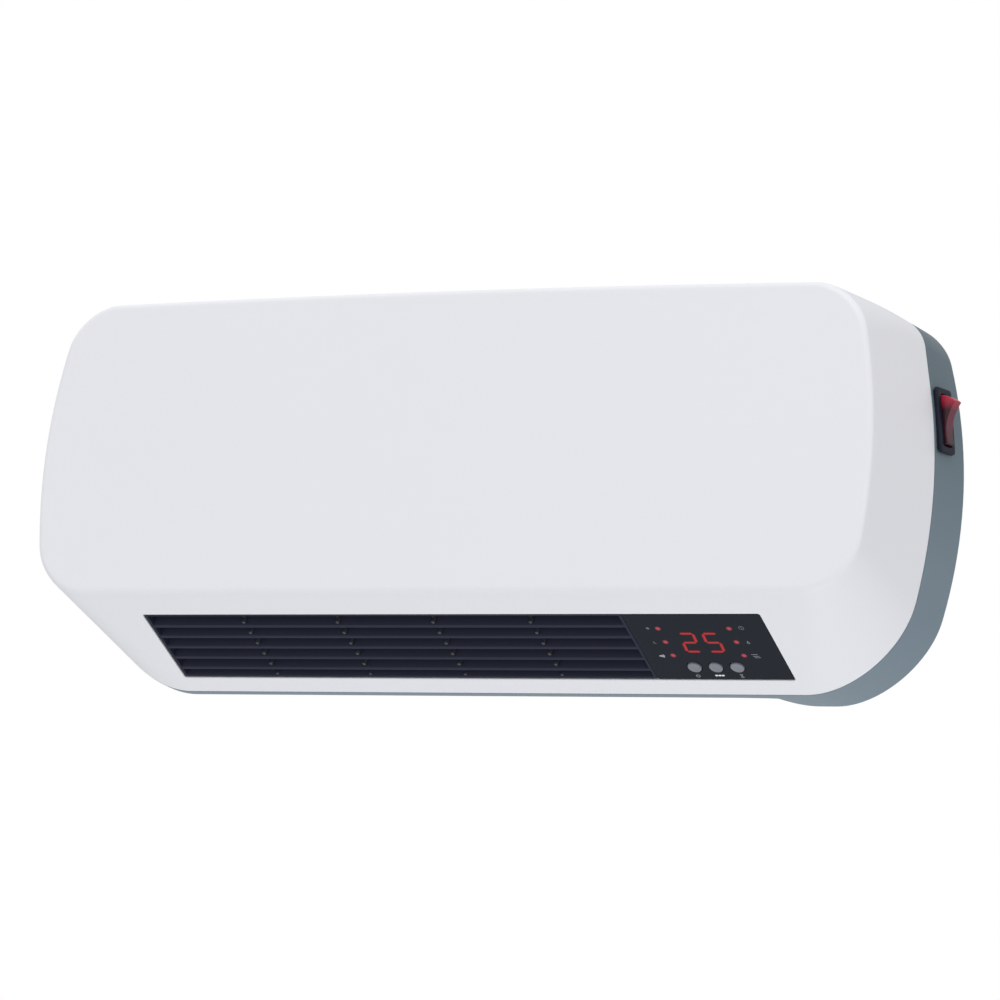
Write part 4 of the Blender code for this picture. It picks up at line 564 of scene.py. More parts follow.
def rounded_rectangle(low: Point, high: Point, radius: float, inset: float = 0.0, steps: int = 6) -> list[Point]:
    """Trace a rectangle with round corners.

    Args:
        low: its lowest corner.
        high: its highest corner.
        radius: the corners' radius before the inset.
        inset: how far the outline is moved in, or out if negative.
        steps: points less one in each corner.

    Returns:
        Its points, anticlockwise from the lower right corner.
    """
    bend = max(radius - inset, TINY)
    left, bottom = low[0] + inset + bend, low[1] + inset + bend
    right, top = high[0] - inset - bend, high[1] - inset - bend
    points = []
    for x, y, start in ((right, bottom, -90), (right, top, 0), (left, top, 90), (left, bottom, 180)):
        for step in range(steps + 1):
            angle = radians(start + 90 * step / steps)
            points.append((x + bend * cos(angle), y + bend * sin(angle)))
    return points


def soft_edge(start: float, end: float, radius: float) -> list[Point]:
    """Return (inset, level) pairs from a slab's square edge at start to its rounded edge at end."""
    way = copysign(1.0, end - start)
    return [(0.0, start)] + [(radius - radius * cos(angle), end - way * (radius - radius * sin(angle)))
                             for angle in quarter(4)]


def pillow(start: float, end: float, radius: float) -> list[Point]:
    """Return (inset, level) pairs between two levels with both edges rounded."""
    middle = (start + end) / 2
    return soft_edge(middle, start, radius)[:0:-1] + soft_edge(middle, end, radius)[1:]


class Shape:
    """Solids gathered into one mesh. What adds a solid returns the shape."""

    def __init__(self, rings: Sequence[Iterable[Vector]] = ()) -> None:
        """Start a shape.

        Args:
            rings: the rings that outline its first solid, if it has one yet.
        """
        self.mesh = bmesh.new()
        if rings:
            self.loft(rings)

    def bridge(self, near: Sequence[bmesh.types.BMVert], far: Sequence[bmesh.types.BMVert]) -> None:
        """Skin between two rows of vertices.

        Args:
            near: one row, or a single pole.
            far: the other row, or a single pole.
        """
        count = max(len(near), len(far))
        for index in range(count):
            following = (index + 1) % count
            corners = (near[index % len(near)], near[following % len(near)],
                       far[following % len(far)], far[index % len(far)])
            self.mesh.faces.new(list(dict.fromkeys(corners)))

    def loft(self, rings: Sequence[Iterable[Vector]], closed: bool = False) -> Shape:
        """Skin a row of rings.

        Args:
            rings: rings with equally many points.
            closed: join the last ring to the first instead of filling both.

        Returns:
            The shape.
        """
        rows = [[self.mesh.verts.new(point) for point in ring] for ring in rings]
        for near, far in zip(rows, rows[1:]):
            self.bridge(near, far)
        if closed:
            self.bridge(rows[-1], rows[0])
            return self
        self.mesh.faces.new(rows[0][::-1])
        self.mesh.faces.new(rows[-1])
        return self

    def plate(self, low: Point, high: Point, radius: float, profile: Iterable[Point], steps: int = 6) -> Shape:
        """Stack rounded rectangles along Z, one for each (inset, level) of the profile."""
        return self.loft([flat(rounded_rectangle(low, high, radius, inset, steps), level)
                          for inset, level in profile])

    def frame(self, low: Point, high: Point, layers: Iterable[Sequence[float]]) -> Shape:
        """Make a closed ring of layers: growth, radius, level and, where it differs, the right end's growth."""
        return self.loft([flat(rounded_rectangle((low[0] - grow, low[1] - grow),
                                                 (high[0] + (right or [grow])[0], high[1] + grow), radius), level)
                          for grow, radius, level, *right in layers], closed=True)

    def turned(self, profile: Sequence[Point], centre: Triple = (0.0, 0.0, 0.0), axis: Axis = Axis.Z,
               sides: int = 40) -> Shape:
        """Turn a profile about an axis.

        Args:
            profile: (radius, level) pairs; one that starts on the axis makes a solid, any other a ring.
            centre: a point on the axis.
            axis: the axis.
            sides: how many sides the turned shape has.

        Returns:
            The shape.
        """
        rows = []
        for radius, level in profile:
            angles = [tau * side / sides for side in range(sides)] if radius > 0.0 else [0.0]
            rows.append([self.mesh.verts.new(Vector(centre) + axis.place(radius, level, angle)) for angle in angles])
        for near, far in zip(rows, rows[1:]):
            self.bridge(near, far)
        if profile[0][0] > 0.0:
            self.bridge(rows[-1], rows[0])
        return self

    def rod(self, radius: float, start: float, end: float, centre: Triple = (0.0, 0.0, 0.0),
            axis: Axis = Axis.Y, sides: int = 16) -> Shape:
        """Add a plain rod between two levels along an axis through the centre."""
        return self.turned([(0.0, start), (radius, start), (radius, end), (0.0, end)], centre, axis, sides)

    def box(self, low: Triple, high: Triple) -> Shape:
        """Add a box between two opposite corners."""
        corners = [(low[0], low[1]), (high[0], low[1]), (high[0], high[1]), (low[0], high[1])]
        return self.loft([flat(corners, level) for level in (low[2], high[2])])

    def place(self, matrix: Matrix) -> Shape:
        """Move everything made so far by a matrix, and return the shape."""
        self.mesh.transform(matrix)
        return self

    def made(self, name: str, finish: Finish) -> Piece:
        """Turn the shape into an object.

        Args:
            name: the object's name.
            finish: its finish.

        Returns:
            The object, smooth but for its sharp edges.
        """
        bmesh.ops.recalc_face_normals(self.mesh, faces=self.mesh.faces[:])
        mesh = bpy.data.meshes.new(name)
        self.mesh.to_mesh(mesh)
        self.mesh.free()
        mesh.materials.append(finish.material())
        return soften(linked(name, mesh))


def soften(piece: Piece) -> Piece:
    """Shade a piece smooth, with sharp edges kept.

    Args:
        piece: the piece.

    Returns:
        The same piece.
    """
    piece.data.shade_smooth()
    piece.data.set_sharp_from_angle(angle=SMOOTH_ANGLE)
    return piece


def settle(piece: Piece) -> Piece:
    """Turn a piece's modifiers into plain mesh.

    Args:
        piece: the piece.

    Returns:
        The same piece.
    """
    seen = piece.evaluated_get(bpy.context.evaluated_depsgraph_get())
    mesh = bpy.data.meshes.new_from_object(seen)
    piece.modifiers.clear()
    piece.data = mesh
    return piece


def even(piece: Piece) -> Piece:
    """Let large faces lead the shading of a carved piece, so that they look flat beside small rounds."""
    piece.modifiers.new("even", "WEIGHTED_NORMAL").keep_sharp = True
    return settle(piece)


def merge(pieces: Sequence[Piece], name: str) -> Piece:
    """Join pieces of one finish into one mesh.

    Args:
        pieces: the pieces, all but the first of which are removed.
        name: the joined piece's name.

    Returns:
        The joined piece.
    """
    joined = bmesh.new()
    for piece in pieces:
        joined.from_mesh(piece.data)
    first = pieces[0]
    joined.to_mesh(first.data)
    joined.free()
    first.name = name
    for piece in pieces[1:]:
        bpy.data.objects.remove(piece)
    return soften(first)


class Carving(Enum):
    """What a shape does to a piece."""

    ADD = "UNION"
    CUT = "DIFFERENCE"


def carve(piece: Piece, *tools: tuple[Shape, Carving]) -> Piece:
    """Join shapes to a piece or cut them away.

    Args:
        piece: the piece that is changed.
        tools: each shape, with what it does.

    Returns:
        The piece.
    """
    helpers = []
    for shape, carving in tools:
        helper = shape.made(f"{piece.name}_tool", Palette.STEEL)
        helper.data.materials.clear()
        helpers.append(helper)
        modifier = piece.modifiers.new("carving", "BOOLEAN")
        modifier.operation = carving.value
        modifier.solver = "EXACT"
        modifier.object = helper
    settle(piece)
    for helper in helpers:
        bpy.data.objects.remove(helper)
    return soften(piece)


def bevel(piece: Piece, width: float, angle: float, segments: int) -> Piece:
    """Round a piece's sharp edges.

    Args:
        piece: the piece that is changed.
        width: the round's width.
        angle: edges that turn by more degrees than this are rounded.
        segments: faces across the round.

    Returns:
        The piece.
    """
    modifier = piece.modifiers.new("round", "BEVEL")
    modifier.width = width
    modifier.segments = segments
    modifier.limit_method = "ANGLE"
    modifier.angle_limit = radians(angle)
    return even(soften(settle(piece)))


# --- repeated shapes
def pattern(name: str, sizes: dict[str, Any]) -> Group:
    """Start a pattern's tree, which has the named sizes with these defaults."""
    return new_group(name, "GeometryNodeTree", {"Geometry": GEOMETRY, **sizes, "Material": MATERIAL},
                     {"Geometry": GEOMETRY})


def dressed(group: Group, copies: Node) -> NodeTree:
    """Finish a pattern's tree.

    Args:
        group: what pattern gave.
        copies: the node that makes its geometry or instances.

    Returns:
        The tree, which ends in real geometry, dressed in the given material.
    """
    tree, given, result = group
    real = tree.add("GeometryNodeRealizeInstances", {0: copies})
    return tree.close(result, Geometry=tree.add("GeometryNodeSetMaterial", {
        "Geometry": real, "Material": given["Material"]}))


@cache
def grid_tree() -> NodeTree:
    """Build the tree that copies its geometry over a flat grid centred on the origin.

    Returns:
        The node tree.
    """
    group = tree, given, _ = pattern("grid_of_copies", {"Columns": 2, "Rows": 2, "Column Pitch": 0.1,
                                                        "Row Pitch": 0.1})
    spans = [tree.math("MULTIPLY", tree.math("SUBTRACT", given[count], 1.0), given[pitch])
             for count, pitch in (("Columns", "Column Pitch"), ("Rows", "Row Pitch"))]
    points = tree.add("GeometryNodeMeshGrid", {"Size X": spans[0], "Size Y": spans[1],
                                               "Vertices X": given["Columns"], "Vertices Y": given["Rows"]})
    return dressed(group, tree.add("GeometryNodeInstanceOnPoints", {
        "Points": points, "Instance": given["Geometry"]}))


@cache
def wheel_tree() -> NodeTree:
    """Build the tree that turns copies of its geometry about the X axis.

    Returns:
        The node tree.
    """
    group = tree, given, _ = pattern("wheel_of_copies", {"Count": 12})
    points = tree.add("GeometryNodeMeshLine", {"Count": given["Count"], "Offset": (0.0, 0.0, 0.0)})
    step = tree.math("DIVIDE", tau, given["Count"])
    angle = tree.math("MULTIPLY", tree.add("GeometryNodeInputIndex"), step)
    turned = tree.add("FunctionNodeEulerToRotation", {0: tree.vector(X=angle)})
    return dressed(group, tree.add("GeometryNodeInstanceOnPoints", {
        "Points": points, "Instance": given["Geometry"], "Rotation": turned}))


@cache
def slats_tree() -> NodeTree:
    """Build the tree that lays round-nosed slats along X, one after another down Y, all leaning alike.

    The lean shears them: their noses stay in the frame's own plane.

    Returns:
        The node tree.
    """
    group = tree, given, _ = pattern("row_of_slats", {
        "Count": 6, "Pitch": 0.008, "Length": 0.25, "Thickness": 0.002, "Depth": 0.008, "Nose": 0.0008,
        "Lean": 0.0})
    section = tree.add("GeometryNodeCurvePrimitiveQuadrilateral", {"Width": given["Thickness"],
                                                                   "Height": given["Depth"]})
    nosed = tree.add("GeometryNodeFilletCurve", {"Curve": section, "Radius": given["Nose"], "Count": 4,
                                                 "Limit Radius": True}, mode="POLY")
    half = tree.math("MULTIPLY", given["Length"], 0.5)
    spine = tree.add("GeometryNodeCurvePrimitiveLine", {
        "Start": tree.vector(X=tree.math("MULTIPLY", half, -1.0)), "End": tree.vector(X=half)})
    slat = tree.add("GeometryNodeCurveToMesh", {"Curve": spine, "Profile Curve": nosed, "Fill Caps": True})
    points = tree.add("GeometryNodeMeshLine", {"Count": given["Count"], "Offset": tree.vector(Y=given["Pitch"])})
    inward = tree.part(tree.add("GeometryNodeInputPosition"), Axis.Z)
    slide = tree.math("MULTIPLY", inward, tree.math("MULTIPLY", given["Lean"], -1.0))
    leaning = tree.add("GeometryNodeSetPosition", {"Geometry": slat, "Offset": tree.vector(Y=slide)})
    return dressed(group, tree.add("GeometryNodeInstanceOnPoints", {"Points": points, "Instance": leaning}))


@cache
def fins_tree() -> NodeTree:
    """Build the tree that folds a metal strip up and down along X, as wide as asked along Y.

    Returns:
        The node tree.
    """
    group = tree, given, _ = pattern("folded_fin_strip", {
        "Folds": 100, "Pitch": 0.0012, "Height": 0.005, "Width": 0.02, "Thickness": 0.0003})
    line = tree.add("GeometryNodeMeshLine", {"Count": given["Folds"], "Offset": tree.vector(X=given["Pitch"])})
    odd = tree.math("MODULO", tree.add("GeometryNodeInputIndex"), 2.0)
    lift = tree.vector(Z=tree.math("MULTIPLY", odd, given["Height"]))
    folded = tree.add("GeometryNodeSetPosition", {"Geometry": line, "Offset": lift})
    path = tree.add("GeometryNodeMeshToCurve", {0: folded})
    upright = tree.add("GeometryNodeSetCurveNormal", {"Curve": path}, mode="Z_UP")
    section = tree.add("GeometryNodeCurvePrimitiveQuadrilateral", {"Width": given["Width"],
                                                                   "Height": given["Thickness"]})
    return dressed(group, tree.add("GeometryNodeCurveToMesh", {
        "Curve": upright, "Profile Curve": section, "Fill Caps": True}))


def repeat(tree: NodeTree, seed: Piece | str, finish: Finish,
           sizes: dict[str, float | int], place: Matrix) -> Piece:
    """Grow a piece from a pattern.

    Args:
        tree: the pattern's tree.
        seed: the piece that is copied, or a new piece's name where the pattern makes its own shape.
        finish: the finish.
        sizes: the pattern's named inputs.
        place: where the pattern's own frame lies in the heater.

    Returns:
        The piece as plain mesh, with its place in its vertices.
    """
    piece = Shape().made(seed, finish) if isinstance(seed, str) else seed
    modifier = piece.modifiers.new("repeat", "NODES")
    modifier.node_group = tree
    given = {**sizes, "Material": finish.material()}
    for socket in tree.interface.items_tree:
        if socket.in_out == "INPUT" and socket.name in given:
            modifier[socket.identifier] = given[socket.name]
    settle(piece).data.transform(place)
    return soften(piece)


def mouth(outside: float, radius: float, depth: float) -> list[Point]:
    """Return (inset, level) pairs of a cutter, from outside to depth, that rounds its hole's mouth at level 0."""
    rounded = [(radius * (sin(angle) - 1.0), radius * (1.0 - cos(angle)) - TINY) for angle in quarter(4)]
    return [(-radius, outside), *rounded, (0.0, depth)]


def paint(piece: Piece, rule: Callable[[Vector], float]) -> None:
    """Store the glow at each vertex of a piece, worked out from the vertex's place by the rule."""
    values = piece.data.attributes.new(GLOW, "FLOAT", "POINT")
    values.data.foreach_set("value", [rule(vertex.co) for vertex in piece.data.vertices])


def seat(piece: Piece, *nodes: str, body: Body = Body.ROOT) -> None:
    """Let a finished piece ride on its body.

    Args:
        piece: the piece.
        nodes: the CAD nodes that it stands for.
        body: the body that it moves with.
    """
    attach(piece, body.value)
    Palette.find(name=piece.data.materials[0].name).slot
    if nodes:
        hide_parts(*nodes)
    LOG.info("%s: %d faces on %s", piece.name, len(piece.data.polygons), body.value)


# --- casing
GAP = 0.0003
CLEAR = 0.004
LOW_CORNER_FACES, HIGH_CORNER_FACES = 24, 18
SIDE_FACES, TOP_FACES, LOBE_FACES, FOOT_FACES = 20, 40, 26, 56
BACK_VIEW = Matrix(((1, 0, 0, 0), (0, 0, -1, 0), (0, 1, 0, 0), (0, 0, 0, 1)))
SIDE_VIEW = Matrix(((0, 0, 1, 0), (1, 0, 0, 0), (0, 1, 0, 0), (0, 0, 0, 1)))


def between(start: Point, end: Point, count: int) -> list[Point]:
    """Return the points that cut a straight run into count parts, without its ends."""
    return [(start[0] + (end[0] - start[0]) * i / count, start[1] + (end[1] - start[1]) * i / count)
            for i in range(1, count)]


def mixed(first: Ring, second: Ring, share: float) -> Ring:
    """Return the ring that lies at a share of the way between two."""
    return [a.lerp(b, share) for a, b in zip(first, second)]


@dataclass(frozen=True)
class Section:
    """Outline of the casing at one depth: round corners, bowed sides and a crowned top."""

    half_width: float
    top: float
    bottom: float
    top_radius: float
    bottom_radius: float
    bow: float
    taper: float
    crown: float

    def inset(self, distance: float) -> Section:
        """Return the same shape with its edge moved in."""
        return replace(self, half_width=self.half_width - distance, top=self.top - distance,
                       bottom=self.bottom + distance, top_radius=self.top_radius - distance,
                       bottom_radius=self.bottom_radius - distance)

    def bend(self, x: float, z: float) -> Point:
        """Move a point of the plain rounded rectangle onto the bowed and crowned one."""
        u, across = (z - (self.top + self.bottom) / 2) / ((self.top - self.bottom) / 2), x / self.half_width
        return (x - (self.bow * u * u + self.taper * u) * across,
                z - self.crown * across * across * max(u, 0.0))

    def corner(self, side: int, high: bool) -> list[Point]:
        """Trace a corner.

        Args:
            side: -1 for the left, 1 for the right.
            high: whether it is a top corner.

        Returns:
            Its points, clockwise as seen from the front.
        """
        radius = self.top_radius if high else self.bottom_radius
        x = side * (self.half_width - radius)
        z = self.top - radius if high else self.bottom + radius
        start = {(-1, False): 270, (-1, True): 180, (1, True): 90, (1, False): 0}[side, high]
        steps = HIGH_CORNER_FACES if high else LOW_CORNER_FACES
        angles = [radians(start - 90 * step / steps) for step in range(steps + 1)]
        return [(x + radius * cos(angle), z + radius * sin(angle)) for angle in angles]

    def outline(self, lobe_start: float) -> list[Point]:
        """Trace the outline from the left end of its bottom edge.

        Args:
            lobe_start: where on the bottom edge the lobe's fine stretch ends.

        Returns:
            The points.
        """
        points = self.corner(-1, False)
        for side, high, faces in ((-1, True, SIDE_FACES), (1, True, TOP_FACES), (1, False, SIDE_FACES)):
            arc = self.corner(side, high)
            points += between(points[-1], arc[0], faces) + arc
        bent = [self.bend(x, z) for x, z in points]
        break_point = (lobe_start, self.bottom)
        bent += between(bent[-1], break_point, LOBE_FACES) + [break_point]
        return bent + between(break_point, bent[0], FOOT_FACES)


@dataclass(frozen=True)
class Casing:
    """The shape that the white cover and the housing share."""

    front: Section = Section(0.2213, 0.0993, -0.0465, 0.0226, 0.0243, 0.0096, 0.0036, 0.002)
    joint: Section = Section(0.2244, 0.0945, -0.0843, 0.0140, 0.0436, 0.0154, -0.0024, 0.0026)
    wall: Section = Section(0.2279, 0.0964, -0.0859, 0.0195, 0.0410, 0.0185, -0.0020, 0.0022)
    front_top_y: float = -0.0912
    front_bottom_y: float = -0.09635
    joint_y: float = -0.0283
    rim_y: float = -0.0279
    thickness: float = 0.0025
    step_height: float = 0.0112
    step_front_y: float = -0.0213
    step_back_y: float = -0.0105
    lobe_start: float = 0.1035
    lobe_end: float = 0.1613
    swell: float = 0.0017
    swell_x: float = 0.17
    swell_z: float = 0.062
    swell_reach: float = 0.75
    fade_start: float = -0.040
    fade_end: float = -0.078
    switch_y: float = -0.0197
    switch_z: float = 0.0452
    post_xz: tuple[Point, ...] = ((-0.190, 0.070), (0.190, 0.070), (-0.190, -0.030), (0.190, -0.030))
    post_bore: float = 0.0018
    post_end_y: float = -0.0300

    def run(self) -> float:
        """Return the depth of the white underside from its front edge to the joint."""
        return self.joint_y - self.front_bottom_y

    def front_y(self, z: float) -> float:
        """Return the depth of the leaning front face at a height."""
        share = (self.front.top - z) / (self.front.top - self.front.bottom)
        return self.front_top_y + (self.front_bottom_y - self.front_top_y) * share

    def front_ring(self, inset: float, depth: float) -> Ring:
        """Return the ring of the front face's edge, moved in by the inset and back by the depth."""
        slope = (self.front_bottom_y - self.front_top_y) / (self.front.bottom - self.front.top)
        return [Vector((x, self.front_top_y + slope * (z - self.front.top) + depth, z))
                for x, z in self.front.inset(inset).outline(self.lobe_start)]

    def flat_ring(self, section: Section, inset: float, y: float) -> Ring:
        """Return a section's ring at a depth."""
        return [Vector((x, y, z)) for x, z in section.inset(inset).outline(self.lobe_start)]

    def swelled(self, ring: Ring, share: float) -> Ring:
        """Push a ring's top corners out.

        Args:
            ring: the ring, which is changed.
            share: 0 at the front edge, where nothing is pushed, 1 at the joint, a little past the most.

        Returns:
            The ring.
        """
        swell = self.swell * sin(pi * self.swell_reach * share)
        for point in ring:
            across = smoothstep(self.swell_x, self.front.half_width, abs(point.x))
            push = swell * across * smoothstep(self.swell_z, self.joint.top, point.z)
            point.x += copysign(push, point.x)
            point.z += push
        return ring

    def cover_ring(self, share: float, inset: float) -> Ring:
        """Return the ring of the cover's side, from the front edge (0) to the joint (1)."""
        ring = mixed(self.front_ring(inset, 0.0), self.flat_ring(self.joint, inset, self.joint_y), share)
        return self.swelled(ring, share)

    def housing_ring(self, y: float, inset: float) -> Ring:
        """Make the ring of the housing at a depth, with the step in the back of its underside.

        Args:
            y: the depth.
            inset: how far it is moved in.

        Returns:
            The ring.
        """
        share = (y - self.joint_y) / -self.joint_y
        ring = mixed(self.flat_ring(self.joint, inset, y), self.flat_ring(self.wall, inset, y), share)
        ring = self.swelled(ring, 1.0 + (1.0 / self.swell_reach - 1.0) * share)
        step = self.step_height * smoothstep(self.step_front_y, self.step_back_y, y)
        for point in ring:
            fade = smoothstep(self.fade_start, self.fade_end, point.z)
            point.z += step * fade * (1.0 - smoothstep(self.lobe_start, self.lobe_end, point.x))
        return ring

    def side_point(self, y: float, z: float) -> Vector:
        """Find a point of the housing's right side.

        Args:
            y: its depth.
            z: its height.

        Returns:
            The point.
        """
        share = (y - self.joint_y) / -self.joint_y
        near, far = (section.bend(section.half_width, z)[0] for section in (self.joint, self.wall))
        return Vector((near + (far - near) * share, y, z))

    def top_z(self, x: float, y: float) -> float:
        """Return the height of the cover's crowned top."""
        share = (y - self.front_top_y) / (self.joint_y - self.front_top_y)
        return self.front.top + (self.joint.top - self.front.top) * share - self.front.crown * (
            x / self.front.half_width) ** 2

    def slope_angle(self) -> float:
        """Return how steeply the underside falls towards the wall."""
        return atan2(self.front.bottom - self.joint.bottom, self.run())

    def underside(self) -> Matrix:
        """Return the underside's frame: x along the heater, y down the slope, z inwards."""
        return (shift(0.0, self.front_bottom_y, self.front.bottom)
                @ turn(-self.slope_angle(), Axis.X))

    def switch(self) -> Matrix:
        """Find where the switch sits.

        Returns:
            Its frame: x out of the side, y to the rear, z up along it.
        """
        y, z, step = self.switch_y, self.switch_z, 0.001
        up = (self.side_point(y, z + step) - self.side_point(y, z - step)).normalized()
        back = (self.side_point(y + step, z) - self.side_point(y - step, z)).normalized()
        out = back.cross(up).normalized()
        return (shift(*self.side_point(y, z))
                @ Matrix((out, up.cross(out).normalized(), up)).transposed().to_4x4())


@dataclass(frozen=True)
class Opening:
    """The window in the underside that the grille and the control panel share."""

    left: float = -0.1648
    right: float = 0.1653
    near: float = 0.0165
    far: float = 0.0667
    split: float = 0.0944
    corner: float = 0.0012
    lip: float = 0.0024
    lip_front: float = 0.0026
    lip_back: float = 0.0042


@dataclass(frozen=True)
class Intake:
    """The recess in the top that the intake grille fills."""

    half_width: float = 0.1460
    front_y: float = -0.0800
    back_y: float = -0.0400
    recess: float = 0.0016
    plate: float = 0.0026
    corner: float = 0.0020
    slots: int = 32
    slot_width: float = 0.0042
    margin: float = 0.0030


@dataclass
class FrontCover:
    """White shell: leaning front face, side band and sloping underside."""

    casing: Casing
    opening: Opening
    intake: Intake
    finish: Finish = Palette.WHITE
    edge_round: float = 0.0030
    round_steps: int = 12
    side_steps: int = 8
    joint_round: float = 0.0004
    mouth_round: float = 0.00045
    post_radius: float = 0.0040
    bore_depth: float = 0.016

    def shell(self) -> Shape:
        """Loft the shell, outside and inside.

        Returns:
            The closed shell.
        """
        case, wall = self.casing, self.casing.thickness
        face, corner = case.front_ring(self.edge_round, 0.0), case.front_ring(0.0, 0.0)
        start = self.edge_round / case.run()
        end = 1.0 - self.joint_round / case.run()
        side = case.cover_ring(start, 0.0)
        rings = [case.front_ring(self.edge_round + more, 0.0) for more in (0.004, 0.0005)] + [face]
        for step in range(1, self.round_steps + 1):
            share = step / self.round_steps
            rings.append(mixed(mixed(face, corner, share), mixed(corner, side, share), share))
        rings += [case.cover_ring(start + (end - start) * step / self.side_steps, 0.0)
                  for step in range(1, self.side_steps + 1)]
        bend = self.joint_round
        rings += [case.cover_ring(1.0 - 0.3 * bend / case.run(), 0.3 * bend), case.cover_ring(1.0, bend),
                  case.cover_ring(1.0, wall)]
        inner = case.cover_ring(0.12, wall)
        rings += [inner, mixed(case.front_ring(wall + 0.0015, wall), inner, 0.15),
                  case.front_ring(wall + self.edge_round, wall)]
        return Shape(rings)

    def outlet_cutter(self) -> Shape:
        """Return the shape that opens the underside."""
        hole, profile = self.opening, mouth(-CLEAR, self.mouth_round, 0.006)
        return Shape().plate((hole.left, hole.near), (hole.right, hole.far), hole.corner, profile).place(
            self.casing.underside())

    def intake_cutter(self) -> Shape:
        """Shape what opens the crowned top.

        Returns:
            The cutter.
        """
        hole, profile = self.intake, [(inset, -level) for inset, level in mouth(-CLEAR, self.mouth_round, 0.012)]
        cutter = Shape().plate((-hole.half_width, hole.front_y), (hole.half_width, hole.back_y), hole.corner,
                               profile, 8)
        bmesh.ops.bisect_edges(cutter.mesh, cuts=23, edges=[
            edge for edge in cutter.mesh.edges if abs(edge.verts[0].co.x - edge.verts[1].co.x) > hole.half_width])
        for vertex in cutter.mesh.verts:
            vertex.co.z += self.casing.top_z(vertex.co.x, vertex.co.y)
        return cutter

    def build(self) -> None:
        """Build the cover, with its screw posts and openings."""
        case = self.casing
        posts, bores = Shape(), Shape()
        for x, z in case.post_xz:
            root = case.front_y(z) + case.thickness - 0.001
            posts.rod(self.post_radius, root, case.post_end_y, (x, 0.0, z), sides=24)
            bores.rod(case.post_bore, case.post_end_y - self.bore_depth, case.post_end_y + CLEAR, (x, 0.0, z))
        cover = self.shell().made("cover_skin", self.finish)
        carve(cover, (posts, Carving.ADD), (bores, Carving.CUT), (self.outlet_cutter(), Carving.CUT),
              (self.intake_cutter(), Carving.CUT))
        seat(even(cover), "front_cover")


